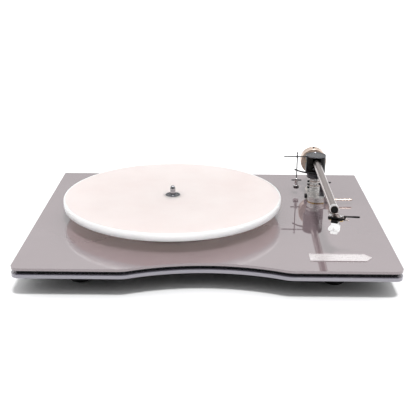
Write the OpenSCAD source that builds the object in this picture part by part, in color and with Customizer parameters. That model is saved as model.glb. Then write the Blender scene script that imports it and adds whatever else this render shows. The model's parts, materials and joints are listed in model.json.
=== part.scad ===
// Belt-driven turntable: two-layer acrylic plinth, thick platter, pivoted arm.
// Origin: centre of the plinth outline, on the surface the feet stand on.
// +X to the right, +Y to the back, +Z up, millimetres.

/* [Plinth] */
// Width of both plinth plates
plinth_w = 459; // [455:1:480]
// Depth of both plinth plates
plinth_d = 372; // [368:1:390]
// Height of the top surface above the floor
plinth_top = 37; // [36:0.5:42]
// Thickness of the upper plate
top_plate_t = 3.2; // [3:0.1:4]
// Thickness of the recessed core between the plates
core_t = 5.2; // [4.5:0.1:6]
// Thickness of the lower plate
bottom_plate_t = 4.2; // [3.5:0.1:5]
// How far the core stands back from the plates' edge
core_inset = 5.5; // [4:0.5:8]
// Corner radius at the front, in plan
front_corner_r = 10; // [7:1:16]
// Corner radius at the back, in plan
back_corner_r = 2; // [1:0.5:6]
// Radius of the scoop cut in the front edge
scoop_r = 245; // [230:1:260]
// Depth of the scoop
scoop_depth = 20; // [16:1:24]

/* [Feet] */
// Radius of a rubber foot
foot_r = 15; // [13:0.5:17]
// Distance from the plinth's side to a foot's centre
foot_side_inset = 74; // [66:1:80]
// Distance from the plinth's front or back to a foot's centre
foot_end_inset = 52; // [45:1:56]

/* [Platter] */
// Diameter of the platter
platter_dia = 295; // [290:1:302]
// Thickness of the platter
platter_t = 10.2; // [9:0.1:12]
// Gap from the plinth's top surface to the platter's underside
platter_lift = 16.8; // [16.5:0.1:20]
// Spindle position from the plinth's centre, across
spindle_x = -48.9; // [-52:0.1:-46]
// Spindle position from the plinth's centre, front to back
spindle_y = 5.6; // [3:0.1:8]
// Diameter of the record spindle
spindle_dia = 7.2; // [7.1:0.02:7.24]
// Height of the spindle's tip above the platter
spindle_rise = 13; // [10:0.5:16]
// Radius of the belt land on the sub-platter
sub_platter_r = 72; // [66:1:76]

/* [Motor] */
// Distance from the spindle to the motor shaft
motor_distance = 105; // [102:1:110]
// Direction from the spindle to the motor shaft, degrees from +X
motor_direction = 140; // [125:1:150]
// Radius of the motor can
motor_r = 18; // [16:0.5:20]
// Radius of the pulley's land for the lower speed
pulley_r = 6; // [5.5:0.1:6.5]
// Radius of the pulley's land for the higher speed
pulley_fast_r = 8.1; // [7.4:0.1:8.6]

/* [Tonearm] */
// Arm pivot from the spindle, across
pivot_dx = 204.2; // [202:0.1:207]
// Arm pivot from the spindle, front to back
pivot_dy = 89.2; // [86:0.1:92]
// Height of the tilt axis above the plinth's top surface
tilt_axis_h = 50; // [49:0.1:51]
// Rise of the arm tube towards the front, in its rest position
arm_slope = 1.25; // [1:0.05:1.5]
// Turn of the arm tube inwards from straight ahead, in its rest position
arm_toe = 0.81; // [0:0.01:1.5]
// Outer radius of the arm tube
tube_r = 5.2; // [5:0.05:5.3]
// Distance from the pivot to the front end of the tube
tube_front = 223; // [220:0.5:225]
// Distance from the pivot to the midpoint between the cartridge screws
screw_distance = 228.3; // [228:0.1:229.5]
// Offset angle of the headshell
offset_angle = 23; // [20:0.5:25]
// Radius of the black pivot housing
housing_r = 14.5; // [14:0.1:15.5]
// Radius of the counterweight
weight_r = 19; // [17:0.5:20]
// Thickness of the counterweight
weight_t = 16; // [14:0.5:17]
// How far behind the pivot the counterweight's middle sits
weight_back = 35; // [35:0.5:37]

/* [Hidden] */
$fn = 96;

// Running clearance of a shaft in its bore, on the radius
run_gap = 0.05;
// Clearance of a fastener in a through hole, on the radius
hole_gap = 0.1;
// Air gap between neighbouring parts that move past each other
air_gap = 0.3;

// Levels of the plinth's layers
core_top = plinth_top - top_plate_t;
core_bottom = core_top - core_t;
plinth_bottom = core_bottom - bottom_plate_t;
platter_bottom = plinth_top + platter_lift;
platter_top = platter_bottom + platter_t;

// Feet
foot_x = plinth_w / 2 - foot_side_inset;
foot_y = plinth_d / 2 - foot_end_inset;
foot_screw_r = 2.5;
foot_head_r = 5;
foot_head_bottom = 8;
foot_head_top = 12;
foot_edge_r = 6;

// Screws that hold the plate stack together
plate_screw_r = 2;
plate_head_r = 3.5;
plate_head_t = 2;
blind_end = core_top - 0.8;
plate_screw_places = [[-195, 150], [0, 150], [195, 150], [-195, -90], [195, -90], [0, -145]];

// Main bearing
journal_r = 5;
bearing_r = 12;
bearing_flange_r = 20;
bearing_flange_t = 3;
bearing_bottom = 8;
bearing_floor_t = 2;
thrust_t = 2;
nut_t = 6;
bearing_nut_r = 17.3;
hub_r = 10.2;
hub_bore_r = 4.2;
hub_top = platter_top + 0.1;

// Sub-platter and belt
sub_platter_bottom = plinth_top + 4.5;
sub_platter_flange = 2;
sub_platter_flange_t = 4;
belt_bottom = plinth_top + 6.5;
belt_w = 5;
belt_t = 1;

// Motor
motor_x = spindle_x + motor_distance * cos(motor_direction);
motor_y = spindle_y + motor_distance * sin(motor_direction);
motor_bottom = 5;
motor_top = core_top;
motor_shaft_r = 1.6;
motor_shaft_bottom = 18;
motor_screw_r = 1.5;
motor_screw_offset = 12.5;
motor_hole_gap = 0.6;

// Terminal box under the back edge
box_x = [30, 112];
box_y = [126, 170];
box_bottom = 5;
box_wall = 1.5;
socket_z = 14;
phono_x = [50, 70];
phono_shell_r = 4.15;
phono_bore_r = 1.6;
inlet_x = 95;
inlet_r = 4.5;
inlet_bore_r = 2.75;

// Mains switch under the left edge
switch_x = -214;
switch_y = 20;
switch_z = 18;
switch_depth = 15;
switch_len = 28;
rocker_len = 20;
rocker_h = 9;
rocker_t = 4;
rocker_tilt = 9;
rocker_pin_r = 1;
rocker_pin_half = 5.8;
rocker_set = 1.5;

// Tonearm base, in the pivot's own frame: x across, y to the back, z above the plinth
pivot_x = spindle_x + pivot_dx;
pivot_y = spindle_y + pivot_dy;
base_r = 13.5;
base_reach = 33.5;
base_t = 8;
stem_r = 8;
stem_bottom = -22;
stem_bore_r = 4.5;
arm_nut_r = 15.5;
pillar_r = 10.5;
pillar_top = 25.5;
collar_r = 12;
housing_bottom = 33;
bearing_ring_r = 6.5;
swing_shaft_r = 3;
set_screw_r = 1.7;

// Cueing: an arc-shaped lift bar round the pivot on a damped plunger
lift_r = 35;
lift_side = 11;
lift_bar_r = 1;
lift_bar_z = 41.5;
lift_bar_span = 62;
lift_cylinder_r = 3.6;
lift_cylinder_top = 28;
plunger_r = 1.6;
lift_pos = [lift_r * sin(lift_side), -lift_r * cos(lift_side)];
cue_axis = [14.5, 6];
cue_block_y = [-43, -33];
cue_shaft_r = 2;
cue_shaft_back = -38.6;
cue_lever_y = -45.3;
cue_lever_r = 1.3;
cue_lever_end = 49;

// Arm rest
rest_y = -22;
rest_w = 4;
rest_top = 44.9;
rest_post_x = 7.5;
rest_post_r = 1.8;

// Pivot housing
housing_wall = 2.3;
housing_floor_t = 3;
housing_top = 57.7;
cap_t = 1.5;
axle_r = 1.5;
tilt_bearing_r = 3;
tilt_bearing_out = 14.2;
tilt_bearing_w = 2.4;

// Bias weight, hung from a rod on the housing's left side
bias_rod_z = 56.8;
bias_rod_y = -2.2;
bias_rod_r = 0.8;
bias_rod_end = 46.6;
bias_x = -27.1;
hanger_r = 0.7;
hanger_top = 63.2;
hanger_bottom = 22;

// Arm tube and what it carries, in the arm's own frame: -y forward along the tube
tube_wall = 1.1;
tube_back = 9;
stub_r = 4;
stub_end = 56;
weight_drop = 8.4;
weight_screw_r = 1.6;
collar_len = 6;
plug_r = 4.5;

// Headshell and cartridge, in the cartridge's own frame: -v forward, u to the right
screw_mid_u = 1.9;
screw_spacing = 12.7;
shell_top = -tube_r - 1.1;
shell_t = 2.2;
shell_left = -8.8;
shell_right = 12.6;
shell_front = 5.5;
cartridge_screw_r = 1.25;
mount_t = 4.2;
ear_t = 1.6;
nose_half = 4.2;
nose_front = 8.5;
body_bottom = -26.3;
stylus_bottom = -27.2;

// ---- Placement helpers ----

module at_spindle() {
    translate([spindle_x, spindle_y, 0]) children();
}

module at_motor() {
    translate([motor_x, motor_y, 0]) children();
}

module at_pivot() {
    translate([pivot_x, pivot_y, plinth_top]) children();
}

// The swinging body's frame: turned inwards with the arm
module at_swing() {
    at_pivot() rotate([0, 0, -arm_toe]) children();
}

// The arm tube's frame: its axis is -y from the tilt axis
module at_arm() {
    at_swing() translate([0, 0, tilt_axis_h]) rotate([-arm_slope, 0, 0]) children();
}

// The cartridge's frame: centred between its two screws, on the tube's axis plane
module at_cartridge() {
    at_arm() translate([screw_mid_u, -screw_distance, 0]) rotate([0, 0, -offset_angle]) children();
}

// A cylinder along -y, from one distance ahead of the origin to another
module along_arm(r, from, to) {
    translate([0, -from, 0]) rotate([90, 0, 0]) cylinder(r = r, h = to - from);
}

// A cylinder along +x
module along_x(r, from, to) {
    translate([from, 0, 0]) rotate([0, 90, 0]) cylinder(r = r, h = to - from);
}

// A cylinder along +z between two levels
module post(r, from, to) {
    translate([0, 0, from]) cylinder(r = r, h = to - from);
}

// A ring along +z between two levels
module ring(r_out, r_in, from, to) {
    difference() {
        post(r_out, from, to);
        post(r_in, from - 1, to + 1);
    }
}

// ---- Plinth ----

// Plan outline of a plate, set in by d all round
module plate_outline(d = 0) {
    w = plinth_w / 2 - d;
    h = plinth_d / 2 - d;
    rf = front_corner_r - d;
    rb = back_corner_r;
    difference() {
        union() {
            translate([-w, -h + rf]) square([2 * w, 2 * h - rf - rb]);
            translate([-w + rf, -h]) square([2 * (w - rf), rf + 1]);
            translate([-w + rb, h - rb - 1]) square([2 * (w - rb), rb + 1]);
            for (side = [-1, 1]) {
                translate([side * (w - rf), -h + rf]) circle(r = rf);
                translate([side * (w - rb), h - rb]) circle(r = rb);
            }
        }
        translate([0, -plinth_d / 2 - scoop_r + scoop_depth]) circle(r = scoop_r + d, $fn = 360);
    }
}

module plate(from, to, inset = 0) {
    translate([0, 0, from]) linear_extrude(to - from) plate_outline(inset);
}

// Holes that go through every plate
module shared_holes(from, to) {
    at_spindle() post(bearing_r + hole_gap, from, to);
    translate([pivot_x, pivot_y, 0]) post(stem_r + hole_gap, from, to);
}

module at_feet() {
    for (x = [-foot_x, foot_x], y = [-foot_y, foot_y]) translate([x, y, 0]) children();
}

module at_plate_screws() {
    for (p = plate_screw_places) translate([p[0], p[1], 0]) children();
}

module at_motor_screws() {
    at_motor() for (x = [-motor_screw_offset, motor_screw_offset]) translate([x, 0, 0]) children();
}

module top_plate() {
    color([0.55, 0.52, 0.55]) difference() {
        plate(core_top, plinth_top);
        shared_holes(core_top - 1, plinth_top + 1);
        at_motor() post(pulley_r, core_top - 1, plinth_top + 1);
        at_motor_screws() post(motor_screw_r + hole_gap, core_top - 1, plinth_top + 1);
    }
}

module core_plate() {
    color([0.04, 0.04, 0.05]) difference() {
        plate(core_bottom, core_top, core_inset);
        shared_holes(core_bottom - 1, core_top + 1);
        at_motor() post(motor_r + motor_hole_gap, core_bottom - 1, core_top + 1);
        at_feet() post(foot_screw_r, core_bottom - 1, blind_end);
        at_plate_screws() post(plate_screw_r, core_bottom - 1, blind_end);
    }
}

module bottom_plate() {
    color([0.42, 0.4, 0.45]) difference() {
        plate(plinth_bottom, core_bottom);
        shared_holes(plinth_bottom - 1, core_bottom + 1);
        at_motor() post(motor_r + motor_hole_gap, plinth_bottom - 1, core_bottom + 1);
        at_feet() post(foot_screw_r + hole_gap, plinth_bottom - 1, core_bottom + 1);
        at_plate_screws() post(plate_screw_r + hole_gap, plinth_bottom - 1, core_bottom + 1);
    }
}

module plate_screws() {
    hex_r = 1.4;
    hex_depth = 1.2;
    color([0.15, 0.15, 0.16]) at_plate_screws() difference() {
        union() {
            post(plate_head_r, plinth_bottom - plate_head_t, plinth_bottom);
            post(plate_screw_r, plinth_bottom, blind_end);
        }
        translate([0, 0, plinth_bottom - plate_head_t - 1])
            cylinder(r = hex_r, h = hex_depth + 1, $fn = 6);
    }
}

// Blank badge with a pointed right end
module name_plate() {
    plate_w = 75;
    plate_h = 21;
    point = 8;
    thick = 0.8;
    corner = [123, -157];
    color([0.85, 0.85, 0.87]) translate([corner[0], corner[1], plinth_top]) linear_extrude(thick)
        polygon([
            [0, 0], [plate_w - point, 0], [plate_w, plate_h / 2], [plate_w - point, plate_h], [0, plate_h]
        ]);
}

// ---- Feet ----

module foot(x, y) {
    color([0.06, 0.06, 0.06]) translate([x, y, 0]) rotate_extrude() difference() {
        union() {
            translate([0, foot_edge_r]) square([foot_r, plinth_bottom - foot_edge_r]);
            square([foot_r - foot_edge_r, foot_edge_r + 1]);
            intersection() {
                translate([foot_r - foot_edge_r, foot_edge_r]) circle(r = foot_edge_r);
                square([foot_r, foot_edge_r + 1]);
            }
        }
        translate([-1, -1]) square([1 + foot_head_r + hole_gap, 1 + foot_head_top]);
        translate([-1, 0]) square([1 + foot_screw_r, plinth_bottom + 1]);
    }
}

module foot_front_left() foot(-foot_x, -foot_y);
module foot_front_right() foot(foot_x, -foot_y);
module foot_back_left() foot(-foot_x, foot_y);
module foot_back_right() foot(foot_x, foot_y);

module foot_screws() {
    color([0.6, 0.6, 0.62]) at_feet() {
        post(foot_head_r, foot_head_bottom, foot_head_top);
        post(foot_screw_r, foot_head_top, blind_end);
    }
}

// ---- Main bearing and platter ----

module bearing_housing() {
    color([0.75, 0.62, 0.35]) at_spindle() difference() {
        union() {
            post(bearing_r, bearing_bottom, plinth_top);
            post(bearing_flange_r, plinth_top, plinth_top + bearing_flange_t);
        }
        post(journal_r + run_gap, bearing_bottom + bearing_floor_t, plinth_top + bearing_flange_t + 1);
    }
}

module bearing_nut() {
    color([0.6, 0.6, 0.62]) at_spindle() difference() {
        translate([0, 0, plinth_bottom - nut_t]) cylinder(r = bearing_nut_r, h = nut_t, $fn = 6);
        post(bearing_r, plinth_bottom - nut_t - 1, plinth_bottom + 1);
    }
}

module thrust_pad() {
    color([0.9, 0.9, 0.85]) at_spindle()
        post(journal_r, bearing_bottom + bearing_floor_t, bearing_bottom + bearing_floor_t + thrust_t);
}

module spindle_shaft() {
    shaft_bottom = bearing_bottom + bearing_floor_t + thrust_t + run_gap;
    tip_r = spindle_dia / 2;
    top = platter_top + spindle_rise;
    relief = 0.4;
    color([0.8, 0.8, 0.82]) at_spindle() {
        post(journal_r, shaft_bottom, platter_bottom);
        post(hub_bore_r, platter_bottom, hub_top);
        post(tip_r - relief, hub_top, hub_top + relief);
        post(tip_r, hub_top + relief, top - tip_r);
        translate([0, 0, top - tip_r]) sphere(r = tip_r);
    }
}

module hub_ring() {
    color([0.25, 0.25, 0.26]) at_spindle()
        ring(hub_r, hub_bore_r, platter_bottom, hub_top);
}

module platter() {
    bevel = 0.6;
    r = platter_dia / 2;
    color([0.96, 0.95, 0.96]) at_spindle() rotate_extrude($fn = 240) polygon([
        [hub_r, platter_bottom], [r - bevel, platter_bottom], [r, platter_bottom + bevel],
        [r, platter_top - bevel], [r - bevel, platter_top], [hub_r, platter_top]
    ]);
}

module sub_platter() {
    flange_bottom = platter_bottom - sub_platter_flange_t;
    color([0.8, 0.8, 0.82]) at_spindle() difference() {
        union() {
            post(sub_platter_r, sub_platter_bottom, flange_bottom);
            post(sub_platter_r + sub_platter_flange, flange_bottom, platter_bottom);
        }
        post(journal_r, sub_platter_bottom - 1, platter_bottom + 1);
    }
}

// ---- Motor and belt ----

module motor_can() {
    color([0.5, 0.5, 0.52]) difference() {
        at_motor() post(motor_r, motor_bottom, motor_top);
        at_motor() post(motor_shaft_r + run_gap, motor_shaft_bottom - 1, motor_top + 1);
        at_motor_screws() post(motor_screw_r, motor_top - 6, motor_top + 1);
    }
}

module motor_screws() {
    head_r = 2.8;
    head_t = 1.8;
    color([0.2, 0.2, 0.2]) at_motor_screws() {
        post(motor_screw_r, motor_top - 5, plinth_top);
        post(head_r, plinth_top, plinth_top + head_t);
    }
}

module motor_shaft() {
    color([0.8, 0.8, 0.82]) at_motor()
        post(motor_shaft_r, motor_shaft_bottom, belt_bottom + belt_w + 1.5);
}

module motor_pulley() {
    step = belt_bottom - 0.5;
    lip = belt_bottom + belt_w + 0.5;
    color([0.75, 0.62, 0.35]) at_motor() difference() {
        union() {
            post(pulley_fast_r, plinth_top + 1.2, step);
            post(pulley_r, step, lip);
            post(pulley_r + 1.5, lip, lip + 1);
        }
        post(motor_shaft_r, plinth_top, lip + 2);
    }
}

// Closed loop round a large and a small circle, both grown by g
function belt_loop(g) =
    let (reach = acos((sub_platter_r - pulley_r) / motor_distance), big = 72, small = 16)
    concat(
        [for (i = [0:big]) let (a = reach + (360 - 2 * reach) * i / big)
            (sub_platter_r + g) * [cos(a), sin(a)]],
        [for (i = [0:small]) let (a = -reach + 2 * reach * i / small)
            [motor_distance, 0] + (pulley_r + g) * [cos(a), sin(a)]]
    );

module drive_belt() {
    color([0.05, 0.05, 0.05]) at_spindle() rotate([0, 0, motor_direction])
        translate([0, 0, belt_bottom]) linear_extrude(belt_w) difference() {
            polygon(belt_loop(air_gap + belt_t));
            polygon(belt_loop(air_gap));
        }
}

// ---- Terminals and switch ----

module terminal_box() {
    inner = [box_x[0] + box_wall, box_y[0] + box_wall, box_bottom + box_wall];
    color([0.12, 0.12, 0.13]) difference() {
        translate([box_x[0], box_y[0], box_bottom])
            cube([box_x[1] - box_x[0], box_y[1] - box_y[0], plinth_bottom - box_bottom]);
        translate(inner) cube([
            box_x[1] - box_x[0] - 2 * box_wall, box_y[1] - box_y[0] - 2 * box_wall, plinth_bottom
        ]);
        for (x = phono_x) socket_rod(x, phono_shell_r, box_y[1] - 5, box_y[1] + 5);
        socket_rod(inlet_x, inlet_r, box_y[1] - 5, box_y[1] + 5);
    }
}

// A cylinder along +y through the terminal box's back wall
module socket_rod(x, r, from, to) {
    translate([x, from, socket_z]) rotate([-90, 0, 0]) cylinder(r = r, h = to - from);
}

module phono_sockets() {
    color([0.85, 0.7, 0.35]) for (x = phono_x) difference() {
        union() {
            socket_rod(x, phono_shell_r, box_y[1] - 6, box_y[1] + 9);
            socket_rod(x, phono_shell_r + 1.8, box_y[1], box_y[1] + 1.5);
        }
        socket_rod(x, phono_bore_r, box_y[1], box_y[1] + 10);
    }
}

module dc_inlet() {
    color([0.08, 0.08, 0.08]) difference() {
        union() {
            socket_rod(inlet_x, inlet_r, box_y[1] - 8, box_y[1] + 1.5);
            socket_rod(inlet_x, inlet_r + 1.5, box_y[1], box_y[1] + 2);
        }
        socket_rod(inlet_x, inlet_bore_r, box_y[1] - 7, box_y[1] + 3);
    }
}

module switch_body() {
    wall = 1.6;
    slot = rocker_h + 0.8;
    slot_len = rocker_len + 2.4;
    slot_depth = 8;
    tall = slot + 2 * wall;
    color([0.1, 0.1, 0.1]) translate([switch_x, switch_y, 0]) difference() {
        translate([0, -switch_len / 2, switch_z - tall / 2])
            cube([switch_depth, switch_len, plinth_bottom - switch_z + tall / 2]);
        translate([-1, -slot_len / 2, switch_z - slot / 2])
            cube([slot_depth + 1, slot_len, slot]);
        translate([rocker_set, 0, switch_z])
            post(rocker_pin_r + run_gap, -rocker_pin_half - hole_gap, rocker_pin_half + hole_gap);
    }
}

module switch_rocker() {
    color([0.2, 0.2, 0.2]) translate([switch_x + rocker_set, switch_y, switch_z])
        rotate([0, 0, -rocker_tilt]) {
            cube([rocker_t, rocker_len, rocker_h], center = true);
            post(rocker_pin_r, -rocker_pin_half, rocker_pin_half);
        }
}

// ---- Tonearm base, fixed to the plinth ----

module base_block(from, to) {
    post(base_r, from, to);
    translate([0, -base_reach, 0]) post(base_r, from, to);
    translate([-base_r, -base_reach, from]) cube([2 * base_r, base_reach, to - from]);
}

module arm_base() {
    color([0.85, 0.85, 0.86]) at_pivot() difference() {
        union() {
            base_block(0, base_t);
            post(stem_r, stem_bottom, 0);
        }
        post(stem_bore_r, stem_bottom - 1, base_t + 1);
    }
}

module arm_nut() {
    nut_top = plinth_bottom - plinth_top;
    color([0.6, 0.6, 0.62]) at_pivot() difference() {
        translate([0, 0, nut_top - nut_t]) cylinder(r = arm_nut_r, h = nut_t, $fn = 6);
        post(stem_r, nut_top - nut_t - 1, nut_top + 1);
    }
}

module arm_pillar() {
    color([0.88, 0.88, 0.9]) at_pivot() ring(pillar_r, bearing_ring_r, base_t, pillar_top);
}

module pillar_collar() {
    color([0.3, 0.3, 0.31]) at_pivot()
        ring(collar_r, swing_shaft_r + 1, pillar_top, housing_bottom - air_gap);
}

// One grub screw on the pillar's side, facing the given direction
module pillar_screw(direction, z) {
    head_out = 1.2;
    rotate([0, 0, direction]) translate([0, 0, z]) difference() {
        along_x(set_screw_r, pillar_r - 0.5, pillar_r + head_out);
        post(pillar_r, -2 * set_screw_r, 2 * set_screw_r);
    }
}

module clamp_screws() {
    left_direction = 205;
    right_direction = 309;
    knob_r = 3.2;
    knob_t = 3.4;
    knob_y = -25;
    color([0.08, 0.08, 0.08]) at_pivot() {
        for (z = [10.8, 15.4, 20]) pillar_screw(left_direction, z);
        pillar_screw(right_direction, 17);
        translate([0, knob_y, 4.6]) along_x(knob_r, -base_r - knob_t, -base_r);
    }
}

module swing_bearings() {
    width = 4;
    color([0.75, 0.75, 0.78]) at_pivot() for (z = [base_t + 1, pillar_top - width - 1])
        ring(bearing_ring_r, swing_shaft_r + run_gap, z, z + width);
}

// ---- Cueing and arm rest ----

// Block beside the base's front end that carries the lever's shaft
module cue_block() {
    left = 9;
    width = 9.5;
    height = base_t + 1.6;
    color([0.85, 0.85, 0.86]) at_pivot() difference() {
        translate([left, cue_block_y[0], 0]) cube([width, cue_block_y[1] - cue_block_y[0], height]);
        base_block(-1, base_t);
        translate([cue_axis[0], cue_shaft_back + air_gap, cue_axis[1]])
            along_arm(cue_shaft_r + run_gap, 0, cue_shaft_back - cue_block_y[0] + 1);
        translate([lift_pos[0], lift_pos[1], 0]) post(lift_cylinder_r, base_t, height + 1);
    }
}

module cue_lever() {
    boss_r = 2.8;
    boss_w = 3.6;
    color([0.7, 0.5, 0.4]) at_pivot() {
        translate([cue_axis[0], 0, cue_axis[1]]) {
            along_arm(cue_shaft_r, -cue_shaft_back, -cue_lever_y + 1);
            translate([0, cue_lever_y, 0]) along_arm(boss_r, -boss_w / 2, boss_w / 2);
        }
        translate([0, cue_lever_y, cue_axis[1]]) along_x(cue_lever_r, cue_axis[0], cue_lever_end);
    }
}

module lift_cylinder() {
    color([0.25, 0.25, 0.26]) at_pivot() translate([lift_pos[0], lift_pos[1], 0]) difference() {
        post(lift_cylinder_r, base_t, lift_cylinder_top);
        post(plunger_r + run_gap, base_t + 2, lift_cylinder_top + 1);
    }
}

// Round rod bent along an arc round the pivot; angles run left from straight ahead
module lift_arc(r, from, to) {
    rotate([0, 0, 270 - to]) rotate_extrude(angle = to - from)
        translate([lift_r, 0]) circle(r = r, $fn = 32);
}

module lift_plunger() {
    color([0.8, 0.8, 0.82]) at_pivot() difference() {
        translate([lift_pos[0], lift_pos[1], 0]) post(plunger_r, base_t + 6, lift_bar_z);
        translate([0, 0, lift_bar_z]) lift_arc(lift_bar_r, -lift_side - 6, -lift_side + 6);
    }
}

module lift_bar() {
    ball_r = 1.3;
    color([0.1, 0.1, 0.1]) at_pivot() translate([0, 0, lift_bar_z]) {
        lift_arc(lift_bar_r, -lift_side - 2, lift_bar_span);
        rotate([0, 0, 270 - lift_bar_span]) translate([lift_r, 0, 0]) sphere(r = ball_r, $fn = 32);
    }
}

module arm_rest() {
    stop_x = 5.4;
    stop_t = 2.2;
    stop_h = 5;
    seat = [-6, 9.4];
    seat_bottom = rest_top - 1.9;
    color([0.25, 0.25, 0.26]) at_pivot() {
        translate([rest_post_x, rest_y, 0]) post(rest_post_r, base_t, seat_bottom);
        translate([seat[0], rest_y - rest_w / 2, seat_bottom])
            cube([seat[1] - seat[0], rest_w, rest_top - seat_bottom]);
        translate([stop_x, rest_y - rest_w / 2, rest_top]) cube([stop_t, rest_w, stop_h]);
    }
}

// ---- Swinging pivot housing ----

module pivot_housing() {
    floor_top = housing_bottom + housing_floor_t;
    slot_r = tube_r + 0.6;
    slot_h = tilt_axis_h + 0.3;
    back_slot_r = stub_r + 0.6;
    back_slot_drop = 2.1;
    color([0.03, 0.03, 0.03]) at_swing() difference() {
        post(housing_r, housing_bottom, housing_top);
        post(housing_r - housing_wall, floor_top, housing_top + 1);
        post(swing_shaft_r, housing_bottom - 1, floor_top + 1);
        // Front slot for the tube
        translate([0, 0, slot_h]) along_arm(slot_r, 5, housing_r + 1);
        translate([-slot_r, -housing_r - 1, slot_h])
            cube([2 * slot_r, housing_r - 4, housing_top - tilt_axis_h]);
        // Back slot for the counterweight stub
        for (drop = [0, back_slot_drop]) translate([0, 0, tilt_axis_h - drop])
            along_arm(back_slot_r, -housing_r - 1, -5);
        translate([-back_slot_r, 5, tilt_axis_h - back_slot_drop])
            cube([2 * back_slot_r, housing_r - 4, back_slot_drop]);
        // Seats of the tilt bearings and of the bias rod
        translate([0, 0, tilt_axis_h]) along_x(tilt_bearing_r, -housing_r - 1, housing_r + 1);
        translate([0, bias_rod_y, bias_rod_z]) along_x(bias_rod_r, -housing_r - 1, 0);
    }
}

module housing_cap() {
    rim = 1.6;
    dish = 0.5;
    color([0.6, 0.6, 0.6]) at_swing() difference() {
        post(housing_r, housing_top, housing_top + cap_t);
        post(housing_r - rim, housing_top + cap_t - dish, housing_top + cap_t + 1);
    }
}

module swing_shaft() {
    color([0.8, 0.8, 0.82]) at_swing() post(swing_shaft_r, 5, housing_bottom + housing_floor_t);
}

module tilt_bearings() {
    color([0.8, 0.7, 0.4]) at_swing() translate([0, 0, tilt_axis_h]) for (side = [0, 180])
        rotate([0, 0, side]) difference() {
            along_x(tilt_bearing_r, tilt_bearing_out - tilt_bearing_w, tilt_bearing_out);
            along_x(axle_r + run_gap, 0, housing_r + 2);
        }
}

module bias_rod() {
    inner = housing_r - housing_wall + 0.4;
    color([0.35, 0.33, 0.32]) at_swing() translate([0, bias_rod_y, bias_rod_z])
        along_x(bias_rod_r, -bias_rod_end, -inner);
}

module bias_hanger() {
    eye_r = 2;
    eye_w = 2;
    cap_r = 1.1;
    cap_h = 1.6;
    color([0.4, 0.38, 0.36]) at_swing() translate([bias_x, bias_rod_y, 0]) difference() {
        union() {
            post(hanger_r, hanger_bottom, hanger_top);
            post(cap_r, hanger_top - cap_h, hanger_top);
            translate([0, 0, bias_rod_z]) along_x(eye_r, -eye_w / 2, eye_w / 2);
        }
        translate([0, 0, bias_rod_z]) along_x(bias_rod_r + run_gap, -3, 3);
    }
}

module bias_weight() {
    neck_r = 2.6;
    ring_r = 4;
    ring_z = [8.5, 13.5];
    top = 24;
    bar_r = 0.9;
    bar_half = 7.5;
    bar_z = 21;
    color([0.8, 0.65, 0.35]) at_swing() translate([bias_x, bias_rod_y, 0]) difference() {
        union() {
            post(neck_r, ring_z[1], top);
            post(ring_r, ring_z[0], ring_z[1]);
            translate([0, 0, bar_z]) along_x(bar_r, -bar_half, bar_half);
        }
        post(hanger_r, hanger_bottom, top + 1);
    }
}

// ---- Arm tube ----

module arm_tube() {
    color([0.7, 0.68, 0.68]) at_arm() difference() {
        along_arm(tube_r, -tube_back, tube_front);
        along_arm(tube_r - tube_wall, -tube_back - 1, tube_front + 1);
        along_x(axle_r, -tube_r - 1, tube_r + 1);
    }
}

module tube_collar() {
    wall = 0.4;
    cut = 10;
    color([0.9, 0.9, 0.92]) at_arm() difference() {
        along_arm(tube_r + wall, tube_front - collar_len, tube_front);
        along_arm(tube_r, tube_front - collar_len - 1, tube_front + 1);
        // Open at the bottom, where the tube beds on the headshell plate
        translate([-cut, -tube_front - 1, -cut - tube_r + wall]) cube([2 * cut, collar_len + 2, cut]);
    }
}

module tube_plug() {
    inside = 5;
    lip = 0.5;
    color([0.03, 0.03, 0.03]) at_arm() {
        along_arm(tube_r - tube_wall, tube_front - inside, tube_front);
        along_arm(plug_r, tube_front, tube_front + lip);
    }
}

module tilt_axle() {
    half = tilt_bearing_out - 0.3;
    color([0.8, 0.8, 0.82]) at_swing() translate([0, 0, tilt_axis_h]) along_x(axle_r, -half, half);
}

module counterweight_stub() {
    color([0.75, 0.75, 0.77]) at_arm() along_arm(stub_r, -stub_end, -4);
}

module counterweight() {
    front = weight_back - weight_t / 2;
    groove = 1.2;
    groove_set = 3;
    color([0.85, 0.6, 0.5]) at_arm() difference() {
        translate([0, 0, -weight_drop]) difference() {
            along_arm(weight_r, -front - weight_t, -front);
            translate([0, front + weight_t - groove_set, 0]) rotate([-90, 0, 0])
                ring(weight_r + 1, weight_r - groove, -groove, 0);
        }
        along_arm(stub_r + run_gap, -front - weight_t - 1, -front + 1);
        translate([0, weight_back, 0]) post(weight_screw_r, 0, weight_r);
    }
}

module counterweight_screw() {
    color([0.3, 0.3, 0.3]) at_arm() translate([0, weight_back, 0])
        post(weight_screw_r, stub_r + 0.2, weight_r - weight_drop + 1);
}

// ---- Headshell and cartridge ----

module headshell() {
    neck_half = 5.5;
    neck_len = 17;
    back = 9;
    back_left = -7;
    back_right = 5;
    side_left = 5;
    side_right = 2;
    tab_r = 1;
    tab_out = 4.5;
    tab_tilt = 10;
    color([0.72, 0.7, 0.7]) difference() {
        union() {
            at_cartridge() translate([0, 0, shell_top - shell_t]) linear_extrude(shell_t)
                polygon([
                    [shell_left, -shell_front], [shell_right, -shell_front],
                    [shell_right, side_right], [back_right, back],
                    [back_left, back], [shell_left, side_left]
                ]);
            // Neck under the tube
            at_arm() translate([-neck_half, -tube_front, shell_top - shell_t])
                cube([2 * neck_half, neck_len, -tube_r - shell_top + shell_t]);
            at_cartridge() translate([shell_right, -shell_front + tab_r, shell_top - tab_r])
                rotate([0, tab_tilt, 0]) along_x(tab_r, -1, tab_out);
        }
        at_cartridge_screws() post(cartridge_screw_r + hole_gap, shell_top - shell_t - 1, shell_top + 1);
    }
}

module at_cartridge_screws() {
    at_cartridge() for (u = [-screw_spacing / 2, screw_spacing / 2]) translate([u, 0, 0]) children();
}

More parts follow.
